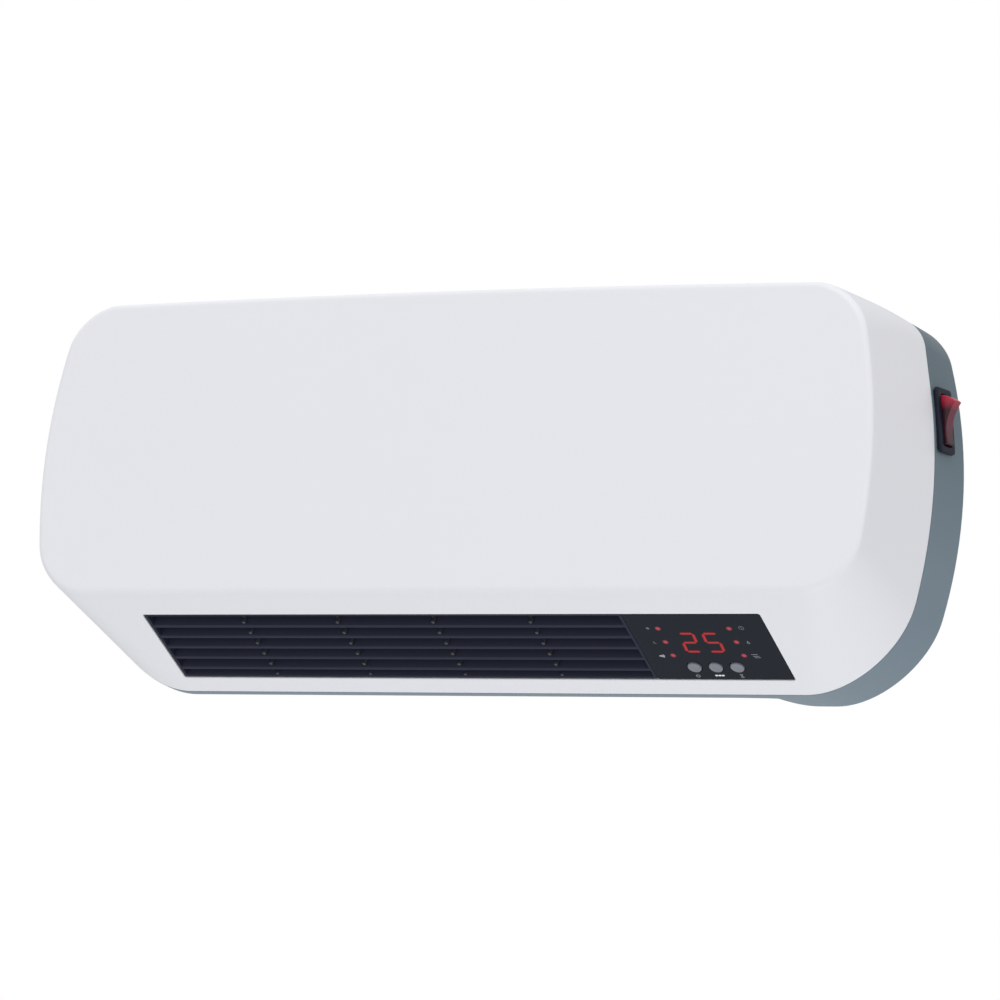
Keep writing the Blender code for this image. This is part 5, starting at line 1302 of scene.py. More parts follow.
@dataclass
class RearHousing:
    """Blue-grey tray against the wall: bracket pocket, screw tunnels, switch window and cable entry."""

    casing: Casing
    finish: Finish = Palette.TEAL
    tongue_length: float = 0.0045
    tongue_wall: float = 0.0015
    tongue_clearance: float = 0.0004
    back_round: float = 0.0018
    mouth_round: float = 0.0004
    pocket: tuple[float, ...] = (0.0980, 0.0400, 0.0780, 0.0050)
    pocket_corner: float = 0.004
    tunnel: Triple = (0.0050, 0.0037, -0.0220)
    boss_xs: Point = (-0.1708, 0.1033)
    boss_zs: Point = (-0.050, -0.014)
    boss_back_y: float = -0.0120
    boss_radius: float = 0.0040
    boss_bore: float = 0.0017
    boss_floor: float = -0.0035
    overcut: float = 0.003
    standoff_xz: tuple[Point, ...] = ((0.121, -0.017), (0.173, -0.017), (0.121, 0.047), (0.173, 0.047))
    standoff_back_y: float = -0.0100
    standoff_radius: float = 0.0025
    cable_xz: Point = (0.1500, -0.0380)
    gland_radius: float = 0.0110
    gland_bore: float = 0.0058
    recess: Point = (0.0085, 0.0026)
    hook_xs: Point = (-0.055, 0.055)
    slot: Triple = (0.0090, 0.0470, 0.0603)
    window: Point = (0.0062, 0.0141)

    def shell(self) -> Shape:
        """Loft the tray, outside and inside, with the tongue that enters the cover.

        Returns:
            The closed tray.
        """
        case, wall = self.casing, self.casing.thickness
        outer = wall + self.tongue_clearance
        inner = outer + self.tongue_wall
        tongue_y = case.joint_y - self.tongue_length
        share = 1.0 - self.tongue_length / (case.joint_y - (case.front_top_y + case.front_bottom_y) / 2)
        tongue = [case.cover_ring(share, outer), case.cover_ring(share, inner)]
        for point in (*tongue[0], *tongue[1]):
            point.y = tongue_y
        rim, soft = case.rim_y, self.back_round
        depths = [case.step_back_y + (case.step_front_y - case.step_back_y) * step / 9 for step in range(10)]
        rings = [case.housing_ring(0.0, 0.0030)]
        rings += [case.housing_ring(-soft * (1.0 - cos(angle)), soft * (1.0 - sin(angle)))
                  for angle in quarter(5)]
        rings += [case.housing_ring(y, 0.0) for y in (-0.0042, -0.0075, *depths, -0.0245, rim + 0.0003)]
        rings += [case.housing_ring(rim, 0.0003), case.housing_ring(rim, outer), *tongue,
                  case.housing_ring(rim + 0.0010, inner), case.housing_ring(rim + 0.0032, wall)]
        rings += [case.housing_ring(y, wall) for y in depths[::-1]] + [case.housing_ring(-wall, wall)]
        return Shape(rings)

    def solids(self) -> Shape:
        """Shape what stands on the tray's floor.

        Returns:
            The pocket's walls, the screw tunnels, the bosses and the standoffs.
        """
        half, low, high, depth = self.pocket
        wall = self.casing.thickness
        inside = -wall / 2
        solids = Shape().box((-half - wall, -depth - wall, low - wall), (half + wall, inside, high + wall))
        rods = [(x, z, self.tunnel[0], self.casing.post_end_y + GAP) for x, z in self.casing.post_xz]
        rods += [(x, z, self.boss_radius, self.boss_back_y + GAP) for x in self.boss_xs for z in self.boss_zs]
        rods += [(x, z, self.standoff_radius, self.standoff_back_y + GAP) for x, z in self.standoff_xz]
        rods.append((*self.cable_xz, self.gland_radius, -self.recess[1] - wall))
        for x, z, radius, end in rods:
            solids.rod(radius, inside, end, (x, 0.0, z), sides=28)
        return solids

    def cuts(self) -> Shape:
        """Shape what is cut from the tray's back.

        Returns:
            The pocket, the screw tunnels, the boss bores and the cable recess.
        """
        half, low, high, depth = self.pocket
        bore, shoulder = self.tunnel[1], self.tunnel[2]
        cuts = Shape().plate((-half, low), (half, high), self.pocket_corner,
                             mouth(-CLEAR, self.mouth_round, depth)).place(BACK_VIEW)
        rounds = mouth(-CLEAR, self.mouth_round, 0.0)[:-1]
        thin, end = self.casing.post_bore, self.casing.post_end_y - self.overcut
        sides = [(bore - inset, -level) for inset, level in rounds]
        for x, z in self.casing.post_xz:
            cuts.turned([(0.0, CLEAR), *sides, (bore, shoulder), (thin, shoulder), (thin, end), (0.0, end)],
                        (x, 0.0, z), Axis.Y, 36)
        for x in self.boss_xs:
            for z in self.boss_zs:
                cuts.rod(self.boss_bore, self.boss_floor, self.boss_back_y - self.overcut, (x, 0.0, z))
        radius, sunk = self.recess
        sides = [(radius - inset, -level) for inset, level in rounds]
        bore, end = self.gland_bore, -0.012
        return cuts.turned([(0.0, CLEAR), *sides, (radius, -sunk), (bore, -sunk), (bore, end), (0.0, end)],
                           (self.cable_xz[0], 0.0, self.cable_xz[1]), Axis.Y, 48)

    def build(self) -> None:
        """Build the tray and cut its openings."""
        slots, depth = Shape(), self.pocket[3]
        half, low, high = self.slot
        for x in self.hook_xs:
            slots.box((x - half, -depth - self.casing.thickness - self.overcut, low),
                      (x + half, -depth + 0.002, high))
        across, along = self.window
        window = Shape().box((-0.012, -across, -along), (CLEAR, across, along)).place(self.casing.switch())
        housing = self.shell().made("housing_skin", self.finish)
        carve(housing, (self.solids(), Carving.ADD), (self.cuts(), Carving.CUT), (slots, Carving.CUT),
              (window, Carving.CUT))
        seat(even(housing), "rear_housing")


# --- grilles
@dataclass
class IntakeGrille:
    """Row of bars in the top, in a frame held under the cover's wall."""

    casing: Casing
    intake: Intake
    finish: Finish = Palette.NAVY
    lip: float = 0.0024
    lip_drop: float = 0.0012
    edge_round: float = 0.0003

    def place(self) -> Matrix:
        """Find the grille's frame.

        Returns:
            The frame, which leans with the cover's top.
        """
        case, hole = self.casing, self.intake
        middle = (hole.front_y + hole.back_y) / 2
        lean = atan2(case.joint.top - case.front.top, case.joint_y - case.front_top_y)
        return shift(0.0, middle, case.top_z(0.0, middle)) @ turn(lean, Axis.X)

    def build(self) -> None:
        """Build the frame and its bars."""
        hole = self.intake
        x, y = hole.half_width - GAP, (hole.back_y - hole.front_y) / 2 - GAP
        top, low = -hole.recess, -hole.recess - hole.plate
        foot = low - self.lip_drop
        inner_x, inner_y, soft = x - hole.margin, y - hole.margin, self.edge_round
        frame = Shape().frame((-x, -y), (x, y), [
            (-soft, hole.corner - soft, top), (0.0, hole.corner, top - soft), (0.0, hole.corner, low),
            (self.lip, hole.corner, low), (self.lip, hole.corner, foot), (-hole.margin, 0.001, foot),
            (-hole.margin, 0.001, top - soft), (soft - hole.margin, 0.001, top)])
        edge = frame.place(self.place()).made("intake_frame", self.finish)
        pitch = 2 * inner_x / hole.slots
        bars = repeat(slats_tree(), "intake_bars", self.finish,
                      {"Count": hole.slots - 1, "Pitch": pitch, "Length": 2 * inner_y + 0.001,
                       "Thickness": pitch - hole.slot_width, "Depth": hole.plate - 0.0002, "Nose": 0.0008},
                      self.place() @ shift(inner_x - pitch, 0.0, (top + low) / 2 - 0.0001)
                      @ turn(pi / 2, Axis.Z))
        seat(merge([edge, bars], "intake_frame"), "intake_grille")


@dataclass
class OutletGrille:
    """Frame with fine slats along the heater, ribs behind them and a small boss before each crossing."""

    casing: Casing
    opening: Opening
    finish: Finish = Palette.NAVY
    # the bosses' lighter navy is a painted highlight at each crossing
    boss_glint_finish: Finish = Palette.NAVY_BOSS_GLINT
    slats: int = 5
    slat_first: float = 0.0265
    slat_pitch: float = 0.00827
    slat_thickness: float = 0.0018
    slat_front: float = 0.0006
    slat_back: float = 0.0085
    ribs: int = 4
    rib_first: float = -0.1113
    rib_pitch: float = 0.0519
    rib_thickness: float = 0.0016
    rib_front: float = 0.0030
    rib_back: float = 0.0070
    border: float = 0.0016
    edge_round: float = 0.00025
    root: float = 0.0008
    boss_radius: float = 0.0009
    boss_first: float = 0.0238
    boss_pitch: float = 0.00812
    boss_front: float = 0.0007

    def frame(self) -> Piece:
        """Build the frame round the slats.

        Returns:
            The frame.
        """
        hole = self.opening
        left, right = hole.left + GAP, hole.split - GAP / 2
        near, far = hole.near + GAP, hole.far - GAP
        top, foot, soft, thin = self.slat_front - 0.0002, self.slat_back + 0.0004, self.edge_round, -0.0001
        edge, drop = far - self.border, (self.slat_back - self.slat_front) * tan(self.casing.slope_angle())
        wall = [(edge + 0.0004, self.slat_front), (edge, self.slat_front), (edge - drop, self.slat_back),
                (edge + 0.0004, self.slat_back)]
        frame = Shape([[Vector((x, along, deep)) for along, deep in wall]
                       for x in (left + self.border - 0.0002, right - self.border + 0.0002)])
        frame.frame((left, near), (right, far), [
            (-soft, 0.0008, top), (0.0, 0.001, top + soft), (0.0, 0.001, hole.lip_front),
            (hole.lip, 0.001, hole.lip_front, thin), (hole.lip, 0.001, hole.lip_back, thin),
            (thin, 0.001, hole.lip_back), (thin, 0.001, foot), (-self.border, 0.0006, foot),
            (-self.border, 0.0006, top + soft), (soft - self.border, 0.0006, top)])
        return frame.place(self.casing.underside()).made("outlet_frame", self.finish)

    def build(self) -> None:
        """Build the frame, slats, ribs and bosses."""
        hole, base = self.opening, self.casing.underside()
        left, right = hole.left + GAP + self.root, hole.split - GAP / 2 - self.root
        near, far = hole.near + GAP + self.root, hole.far - GAP - self.root
        lean, depth = tan(self.casing.slope_angle()), self.slat_back - self.slat_front
        thick = self.slat_thickness / cos(self.casing.slope_angle())
        slats = repeat(slats_tree(), "outlet_slats", self.finish,
                       {"Count": self.slats, "Pitch": self.slat_pitch, "Length": right - left,
                        "Thickness": thick, "Depth": depth, "Nose": 0.0003, "Lean": lean},
                       base @ shift((left + right) / 2, self.slat_first - depth * lean / 2,
                                    (self.slat_front + self.slat_back) / 2))
        last = self.rib_first + self.rib_pitch * (self.ribs - 1)
        ribs = repeat(slats_tree(), "outlet_ribs", self.finish,
                      {"Count": self.ribs, "Pitch": self.rib_pitch, "Length": far - near,
                       "Thickness": self.rib_thickness, "Depth": self.rib_back - self.rib_front, "Nose": 0.0005},
                      base @ shift(last, (near + far) / 2, (self.rib_front + self.rib_back) / 2)
                      @ turn(pi / 2, Axis.Z))
        seat(merge([self.frame(), slats, ribs], "outlet_frame"), "outlet_grille")
        radius, top, foot = self.boss_radius, self.boss_front, self.rib_front + 0.0005
        boss = Shape().turned([(0.0, top), (radius * 0.6, top + 0.00005), (radius * 0.9, top + 0.00015),
                               (radius, top + 0.0004), (radius, foot), (0.0, foot)], sides=16)
        middle = ((self.rib_first + last) / 2, self.boss_first + self.boss_pitch * self.slats / 2, 0.0)
        bosses = repeat(grid_tree(), boss.made("outlet_bosses", self.boss_glint_finish), self.boss_glint_finish,
                        {"Columns": self.ribs, "Rows": self.slats + 1, "Column Pitch": self.rib_pitch,
                         "Row Pitch": self.boss_pitch}, base @ shift(*middle))
        seat(bosses)


# --- control panel
def bar(start: Point, end: Point, half: float, point: float, trim: float = 0.0) -> list[Point]:
    """Outline a straight bar with pointed ends.

    Args:
        start: where its centre line starts.
        end: where its centre line ends.
        half: half of its width.
        point: how long each pointed end is.
        trim: how much shorter each end is made.

    Returns:
        Its six corners.
    """
    length = hypot(end[0] - start[0], end[1] - start[1])
    along = ((end[0] - start[0]) / length, (end[1] - start[1]) / length)
    corners = ((trim, 0.0), (trim + point, half), (length - trim - point, half), (length - trim, 0.0),
               (length - trim - point, -half), (trim + point, -half))
    return [(start[0] + along[0] * t - along[1] * n, start[1] + along[1] * t + along[0] * n) for t, n in corners]


def ring_run(radius: float, start: float, end: float, parts: int) -> tuple[Point, ...]:
    """Return the points of an arc round the origin, with its angles in degrees."""
    angles = [radians(start + (end - start) * part / parts) for part in range(parts + 1)]
    return tuple((radius * cos(angle), radius * sin(angle)) for angle in angles)


class Mark(Enum):
    """Generic pictograms: runs of strokes inside a unit square, y down the panel."""

    SUN = (((-1.0, 0.0), (1.0, 0.0)), ((0.0, -1.0), (0.0, 1.0)), ((-0.6, -0.6), (0.6, 0.6)),
           ((-0.6, 0.6), (0.6, -0.6)))
    MOON = (ring_run(0.9, 60, 250, 6), ring_run(0.55, 70, 240, 5))
    FLAG = (((-1.0, 0.0), (0.7, -0.5)), ((-1.0, 0.0), (0.7, 0.7)), ((0.7, -0.5), (0.7, 0.7)),
            ((-0.4, 0.1), (0.6, 0.1)))
    CLOCK = (ring_run(0.9, 0, 360, 10), ((0.0, 0.0), (0.0, -0.6)), ((0.0, 0.0), (0.4, 0.2)))
    DROP = (((0.0, -0.9), (0.55, 0.3), (0.0, 0.8), (-0.55, 0.3), (0.0, -0.9)),)
    WAVES = (((-1.1, -0.6), (0.9, -0.6)), ((-0.8, 0.2), (1.2, 0.2)), ((-0.5, 0.9), (1.4, 0.9)))
    POWER = (ring_run(0.8, -50, 230, 9), ((0.0, -1.1), (0.0, -0.1)))
    BLOCKS = (((-1.1, 0.0), (-0.5, 0.0)), ((-0.3, 0.0), (0.3, 0.0)), ((0.5, 0.0), (1.1, 0.0)))
    TIMER = (((-0.6, -0.9), (0.6, -0.9), (-0.6, 0.9), (0.6, 0.9), (-0.6, -0.9)),)


class Segment(Enum):
    """The bars of a seven-segment digit, from the corners of a 1 by 2 grid, y down."""

    TOP = ((0, 0), (1, 0))
    UPPER_LEFT = ((0, 0), (0, 1))
    UPPER_RIGHT = ((1, 0), (1, 1))
    MIDDLE = ((0, 1), (1, 1))
    LOWER_LEFT = ((0, 1), (0, 2))
    LOWER_RIGHT = ((1, 1), (1, 2))
    BOTTOM = ((0, 2), (1, 2))


TWO = (Segment.TOP, Segment.UPPER_RIGHT, Segment.MIDDLE, Segment.LOWER_LEFT, Segment.BOTTOM)
FIVE = (Segment.TOP, Segment.UPPER_LEFT, Segment.MIDDLE, Segment.LOWER_RIGHT, Segment.BOTTOM)


@dataclass
class ControlPanel:
    """Smoked panel with its glowing digits, lamp windows and printed marks."""

    casing: Casing
    opening: Opening
    finish: Finish = Palette.SMOKED
    front: float = 0.0003
    back: float = 0.0027
    button_xs: tuple[float, ...] = (0.1171, 0.1281, 0.1391)
    button_v: float = 0.0568
    hole_radius: float = 0.0038
    posts: tuple[Point, ...] = ((0.1020, 0.0225), (0.1590, 0.0610))
    post_radius: float = 0.0020
    board_front: float = 0.0120
    digit_lefts: Point = (0.1175, 0.1295)
    digit_width: float = 0.0086
    digit_top: float = 0.0307
    digit_height: float = 0.0152
    stroke: float = 0.00165
    slant: float = 0.072
    lamp_xs: Point = (0.1094, 0.1458)
    lamp_vs: Point = (0.0277, 0.0480)
    lamp_radius: float = 0.0015
    proud: float = 0.00004
    sunk: float = 0.0002
    line_half: float = 0.00016
    block_half: float = 0.00055
    marks: tuple[tuple[Mark, float, float, float, float], ...] = (
        (Mark.SUN, 0.1042, 0.0275, 0.0009, 0.25), (Mark.MOON, 0.1039, 0.0382, 0.0010, 0.12),
        (Mark.FLAG, 0.1035, 0.0484, 0.0015, 0.70), (Mark.CLOCK, 0.1521, 0.0273, 0.0014, 0.16),
        (Mark.DROP, 0.1516, 0.0382, 0.0012, 0.28), (Mark.WAVES, 0.1515, 0.0482, 0.0016, 0.35),
        (Mark.POWER, 0.1163, 0.0636, 0.0012, 0.40), (Mark.BLOCKS, 0.1276, 0.0633, 0.0021, 1.0),
        (Mark.TIMER, 0.1389, 0.0636, 0.0013, 0.32))

    def plate(self) -> None:
        """Build the panel with its lip, posts and button holes."""
        hole, shape = self.opening, Shape()
        left, right = hole.split + GAP / 2, hole.right - GAP
        near, far = hole.near + GAP, hole.far - GAP
        shape.plate((left, near), (right, far), hole.corner - GAP,
                    soft_edge(hole.lip_back, self.front, 0.0003)[::-1])
        panel = shape.place(self.casing.underside()).made("panel_skin", self.finish)
        posts, holes = Shape(), Shape()
        lip = Shape().plate((left + 0.0001, near - hole.lip), (right + hole.lip, far + hole.lip), 0.001,
                            [(0.0, hole.lip_front), (0.0, hole.lip_back)])
        hollow = Shape().plate((left + 0.004, near + 0.002), (right - 0.002, far - 0.002), 0.001,
                               [(0.0, self.back), (0.0, 0.006)])
        for x, v in self.posts:
            posts.rod(self.post_radius, self.back - 0.0005, self.board_front - GAP, (x, v, 0.0), Axis.Z, 20)
        for x in self.button_xs:
            sides = [(self.hole_radius - inset, self.front + level)
                     for inset, level in mouth(-0.002, 0.0002, 0.006)]
            holes.turned([(0.0, self.front - 0.002), *sides, (0.0, self.front + 0.006)], (x, self.button_v, 0.0))
        base = self.casing.underside()
        carve(panel, (lip.place(base), Carving.ADD), (hollow.place(base), Carving.CUT),
              (posts.place(base), Carving.ADD), (holes.place(base), Carving.CUT))
        seat(even(panel), "control_fascia")

    def inlay(self, shape: Shape, outline: Sequence[Point], core: Sequence[Point]) -> None:
        """Add a thin inlay whose core stands a hair above its edge."""
        rings = ((outline, self.front + self.sunk), (outline, self.front - self.proud * 0.6),
                 (core, self.front - self.proud))
        shape.loft([flat(ring, level) for ring, level in rings])

    def digits(self) -> None:
        """Build the two glowing digits."""
        half, shape = self.stroke / 2, Shape()
        middle = self.digit_top + self.digit_height / 2
        cell = (self.digit_width - self.stroke, (self.digit_height - self.stroke) / 2)
        for left, segments in zip(self.digit_lefts, (TWO, FIVE)):
            for segment in segments:
                start, end = [(left + half + column * cell[0], self.digit_top + half + row * cell[1])
                              for column, row in segment.value]
                outlines = (bar(start, end, half, half, 0.0001), bar(start, end, half * 0.35, half * 0.35, 0.0005))
                self.inlay(shape, *[[(x - self.slant * (v - middle), v) for x, v in outline]
                                    for outline in outlines])
        digits = shape.made("display_digits", Palette.DIGIT)
        paint(digits, lambda point: smoothstep(self.front - self.proud * 0.6, self.front - self.proud, point.z))
        digits.data.transform(self.casing.underside())
        seat(digits)

    def lamps(self) -> None:
        """Build the six lamp windows."""
        radius, level, foot = self.lamp_radius, self.front - self.proud, self.front + self.sunk
        seed = Shape().turned([(0.0, level), (radius * 0.3, level), (radius * 0.55, level), (radius * 0.8, level),
                               (radius, level + self.proud * 0.4), (radius, foot), (0.0, foot)],
                              sides=24).made("lamp_windows", Palette.LAMP)
        paint(seed, lambda point: 1.0 - smoothstep(0.25 * radius, 0.95 * radius, point.xy.length))
        middle = (sum(self.lamp_xs) / 2, sum(self.lamp_vs) / 2, 0.0)
        lamps = repeat(grid_tree(), seed, Palette.LAMP,
                       {"Columns": 2, "Rows": 3, "Column Pitch": self.lamp_xs[1] - self.lamp_xs[0],
                        "Row Pitch": (self.lamp_vs[1] - self.lamp_vs[0]) / 2},
                       self.casing.underside() @ shift(*middle))
        seat(lamps)

    def print_marks(self) -> None:
        """Print the pictograms beside the lamps and under the buttons."""
        shape = Shape()
        strength: list[tuple[Point, float]] = []
        for mark, x, v, size, bright in self.marks:
            half = self.block_half if mark is Mark.BLOCKS else self.line_half
            strength.append(((x, v), bright))
            for line in mark.value:
                for start, end in zip(line, line[1:]):
                    ends = [(x + size * px, v + size * pv) for px, pv in (start, end)]
                    outline = bar(*ends, half, half * 0.4, -half * 0.3)
                    self.inlay(shape, outline, bar(*ends, half * 0.9, half * 0.36, -half * 0.2))
        marks = shape.made("panel_marks", Palette.PRINT)
        paint(marks, lambda point: min(strength, key=lambda spot: dist(spot[0], point.xy))[1])
        marks.data.transform(self.casing.underside())
        seat(marks)

    def build(self) -> None:
        """Build the panel and all that shows on it."""
        self.plate()
        self.digits()
        self.lamps()
        self.print_marks()


@dataclass
class PushButtons:
    """Three dished push buttons, each on its own body."""

    casing: Casing
    panel: ControlPanel
    finish: Finish = Palette.BUTTON
    radius: float = 0.0034
    proud: float = 0.0008
    dish: float = 0.00035
    edge: float = 0.0006
    flange: Triple = (0.0045, 0.0030, 0.0040)
    stem: Point = (0.0016, 0.0076)

    def profile(self) -> list[Point]:
        """Trace a button.

        Returns:
            Its (radius, depth) profile from the middle of its face.
        """
        face = self.panel.front - self.proud
        rim = self.radius - self.edge
        dished = [(rim * step / 6, face + self.dish * (1.0 - (step / 6) ** 2)) for step in range(6)]
        rounded = [(rim + self.edge * sin(angle), face + self.edge * (1.0 - cos(angle)))
                   for angle in quarter(5)]
        wide, top, foot = self.flange
        stem, end = self.stem
        return dished + rounded + [(self.radius, top), (wide, top), (wide, foot), (stem, foot), (stem, end),
                                   (0.0, end)]

    def build(self) -> None:
        """Build the three buttons."""
        bodies = (Body.LEFT_BUTTON, Body.MIDDLE_BUTTON, Body.RIGHT_BUTTON)
        for x, name, body in zip(self.panel.button_xs, ("left", "middle", "right"), bodies):
            cap = Shape().turned(self.profile(), (x, self.panel.button_v, 0.0), sides=48)
            seat(cap.place(self.casing.underside()).made(f"{name}_push_button", self.finish), f"button_{name}",
                 body=body)


# --- mains switch
@dataclass
class MainsSwitch:
    """Switch in the housing's right side, with the red rocker that tips in it."""

    casing: Casing
    body_finish: Finish = Palette.SWITCH
    rocker_finish: Finish = Palette.ROCKER
    bezel: Triple = (0.0070, 0.0155, 0.0016)
    barrel: Triple = (0.0059, 0.0138, 0.0190)
    corner: float = 0.0020
    outer_round: float = 0.0007
    inner_round: float = 0.0004
    tab_zs: tuple[float, ...] = (-0.0080, 0.0, 0.0080)
    tab: Triple = (0.0070, 0.0024, 0.0004)
    width: float = 0.0064
    half_length: float = 0.0100
    end_height: float = 0.0067
    middle_height: float = 0.0042
    underside: float = -0.0034
    rest: float = radians(15)
    pivot_drop: float = 0.0022
    pocket_depth: float = 0.0072
    clearance: float = 0.0004
    pin_radius: float = 0.0011

    def face(self) -> float:
        """Return how far the bezel's face stands out of the housing."""
        return GAP + self.bezel[2]

    def body(self) -> None:
        """Build the bezel, its pocket, the barrel and the tabs."""
        face, pivot = self.face(), self.face() - self.pivot_drop
        half, reach = self.width / 2 + self.clearance, hypot(self.half_length, self.end_height) + self.clearance
        (wide, long, _), (thin, short, depth) = self.bezel, self.barrel
        layers = [(thin, short, 0.001, -depth), (thin, short, 0.001, GAP), (wide, long, self.corner, GAP)]
        for angle in quarter(4):
            soft = self.outer_round * (1.0 - cos(angle))
            layers.append((wide - soft, long - soft, self.corner - soft,
                           face - self.outer_round * (1.0 - sin(angle))))
        for angle in quarter(3):
            grow = self.inner_round * (1.0 - sin(angle))
            layers.append((half + grow, reach + grow, 0.0008 + grow,
                           face - self.inner_round * (1.0 - cos(angle))))
        layers.append((half, reach, 0.0008, pivot - self.pocket_depth))
        shape = Shape([flat(rounded_rectangle((-across, -along), (across, along), radius), level)
                       for across, along, radius, level in layers])
        length, across, thick = self.tab
        for along in self.tab_zs:
            shape.box((-across, along - thick, -depth - length), (across, along + thick, -depth - TINY))
        seat(shape.place(self.casing.switch() @ SIDE_VIEW).made("switch_bezel", self.body_finish), "switch_body")

    def outline(self) -> list[Point]:
        """Trace the rocker's side view.

        Returns:
            Its (along, height) points.
        """
        radius = hypot(self.half_length, self.end_height)
        high, low = asin(self.end_height / radius), asin(self.underside / radius)
        face = [(self.half_length * share,
                 self.middle_height + (self.end_height - self.middle_height) * share * share)
                for share in [step / 10 for step in range(-9, 10)]]
        end = [(radius * cos(angle), radius * sin(angle))
               for angle in [high + (low - high) * step / 8 for step in range(9)]]
        return face + end + [(-along, height) for along, height in end[::-1]]

    def rocker(self) -> None:
        """Build the rocker with its pin."""
        pivot = self.face() - self.pivot_drop
        place = self.casing.switch() @ shift(pivot, 0.0, 0.0) @ turn(self.rest, Axis.Y)
        half, reach = self.width / 2, self.barrel[0] - 0.0002
        slab = Shape([[Vector((height, across, along)) for along, height in self.outline()]
                      for across in (-half, half)])
        rocker = bevel(slab.made("rocker_key", self.rocker_finish), 0.0005, 40.0, 4)
        carve(rocker, (Shape().rod(self.pin_radius, -reach, reach, sides=24), Carving.ADD))
        rocker.data.transform(place)
        seat(rocker, "power_rocker", body=Body.ROCKER)

    def build(self) -> None:
        """Build the switch and its rocker."""
        self.body()
        self.rocker()


# --- fixings
@dataclass
class WallMount:
    """Steel strip with two hooks on which the housing hangs."""

    finish: Finish = Palette.ZINC
    half_width: float = 0.0920
    bottom: float = 0.0440
    top: float = 0.0740
    thickness: float = 0.0015
    edge_round: float = 0.0002
    corner: float = 0.003
    holes: tuple[float, ...] = (-0.0800, 0.0, 0.0800)
    hole_radius: float = 0.0025
    hook_xs: tuple[float, ...] = (-0.055, 0.055)
    hook_width: float = 0.016
    arm_top: float = 0.0600
    rise: float = 0.0080
    lip_y: float = -0.0082
    bend: float = 0.0008

    def hook(self) -> list[Point]:
        """Trace a hook's side view: an arm with an upturned lip.

        Returns:
            Its (depth, height) points.
        """
        thick, bend = self.thickness, self.bend
        inner_y, outer_y = self.lip_y, self.lip_y - thick
        low, high = self.arm_top - thick, self.arm_top + self.rise
        inside = [(inner_y + bend * (1.0 - sin(angle)), self.arm_top + bend * (1.0 - cos(angle)))
                  for angle in quarter(5)]
        reach = bend + thick
        outside = [(outer_y + reach * (1.0 - cos(angle)), low + reach * (1.0 - sin(angle)))
                   for angle in quarter(7)]
        return [(-thick / 2, low), (-thick / 2, self.arm_top), *inside, (inner_y, high), (outer_y, high), *outside]

    def build(self) -> None:
        """Build the strip, its hooks and its screw holes."""
        strip = Shape().plate((-self.half_width, self.bottom), (self.half_width, self.top), self.corner,
                              pillow(0.0, self.thickness, self.edge_round), 8)
        hooks, holes = Shape(), Shape()
        for x in self.hook_xs:
            hooks.loft([[Vector((x + side * self.hook_width / 2, y, z)) for y, z in self.hook()]
                        for side in (-1, 1)])
        middle = (self.bottom + self.top) / 2
        for x in self.holes:
            holes.rod(self.hole_radius, -CLEAR, CLEAR, (x, 0.0, middle), sides=36)
        bracket = strip.place(BACK_VIEW).made("bracket_strip", self.finish)
        carve(bracket, (hooks, Carving.ADD), (holes, Carving.CUT))
        seat(bevel(bracket, 0.00015, 60.0, 2), "wall_bracket")


@dataclass
class CoverScrews:
    """Four cross-head screws, deep in the housing's tunnels."""

    casing: Casing
    finish: Finish = Palette.STEEL
    seat_y: float = -0.0217
    head_radius: float = 0.0032
    head_height: float = 0.0020
    radius: float = 0.0014
    length: float = 0.0200
    threads: int = 16
    thread_start: float = -0.0010
    thread_height: float = 0.0008
    root_share: float = 0.78
    cross: Triple = (0.0019, 0.00035, 0.0012)

    def build(self) -> None:
        """Build one screw and repeat it at the cover's four posts."""
        head, wide, thin = self.head_height, self.head_radius, self.radius
        crown = [(wide * cos(angle), head * (0.35 + 0.65 * sin(angle))) for angle in quarter(7)[::-1]]
        crown[0] = (0.0, head)
        threads, root = [], thin * self.root_share
        for thread in range(self.threads):
            level = self.thread_start - thread * (self.length - 0.002) / self.threads
            threads += [(root, level), (thin, level - self.thread_height / 2), (root, level - self.thread_height)]
        screw = Shape().turned([*crown, (wide, 0.0), (root, 0.0), *threads, (thin * 0.6, -self.length),
                                (0.0, -self.length - 0.002)], sides=32).made("cover_screw_set", self.finish)
        long, narrow, deep = self.cross
        carve(screw, *[(Shape().box((-x, -y, head - deep), (x, y, head + 0.002)), Carving.CUT)
                       for x, y in ((long, narrow), (narrow, long))])
        xs, zs = sorted({x for x, _ in self.casing.post_xz}), sorted({z for _, z in self.casing.post_xz})
        place = shift(sum(xs) / 2, self.seat_y, sum(zs) / 2) @ turn(-pi / 2, Axis.X)
        screws = repeat(grid_tree(), screw, self.finish,
                        {"Columns": 2, "Rows": 2, "Column Pitch": xs[1] - xs[0], "Row Pitch": zs[1] - zs[0]}, place)
        seat(screws, *[f"cover_screw_{number}" for number in range(1, 5)])


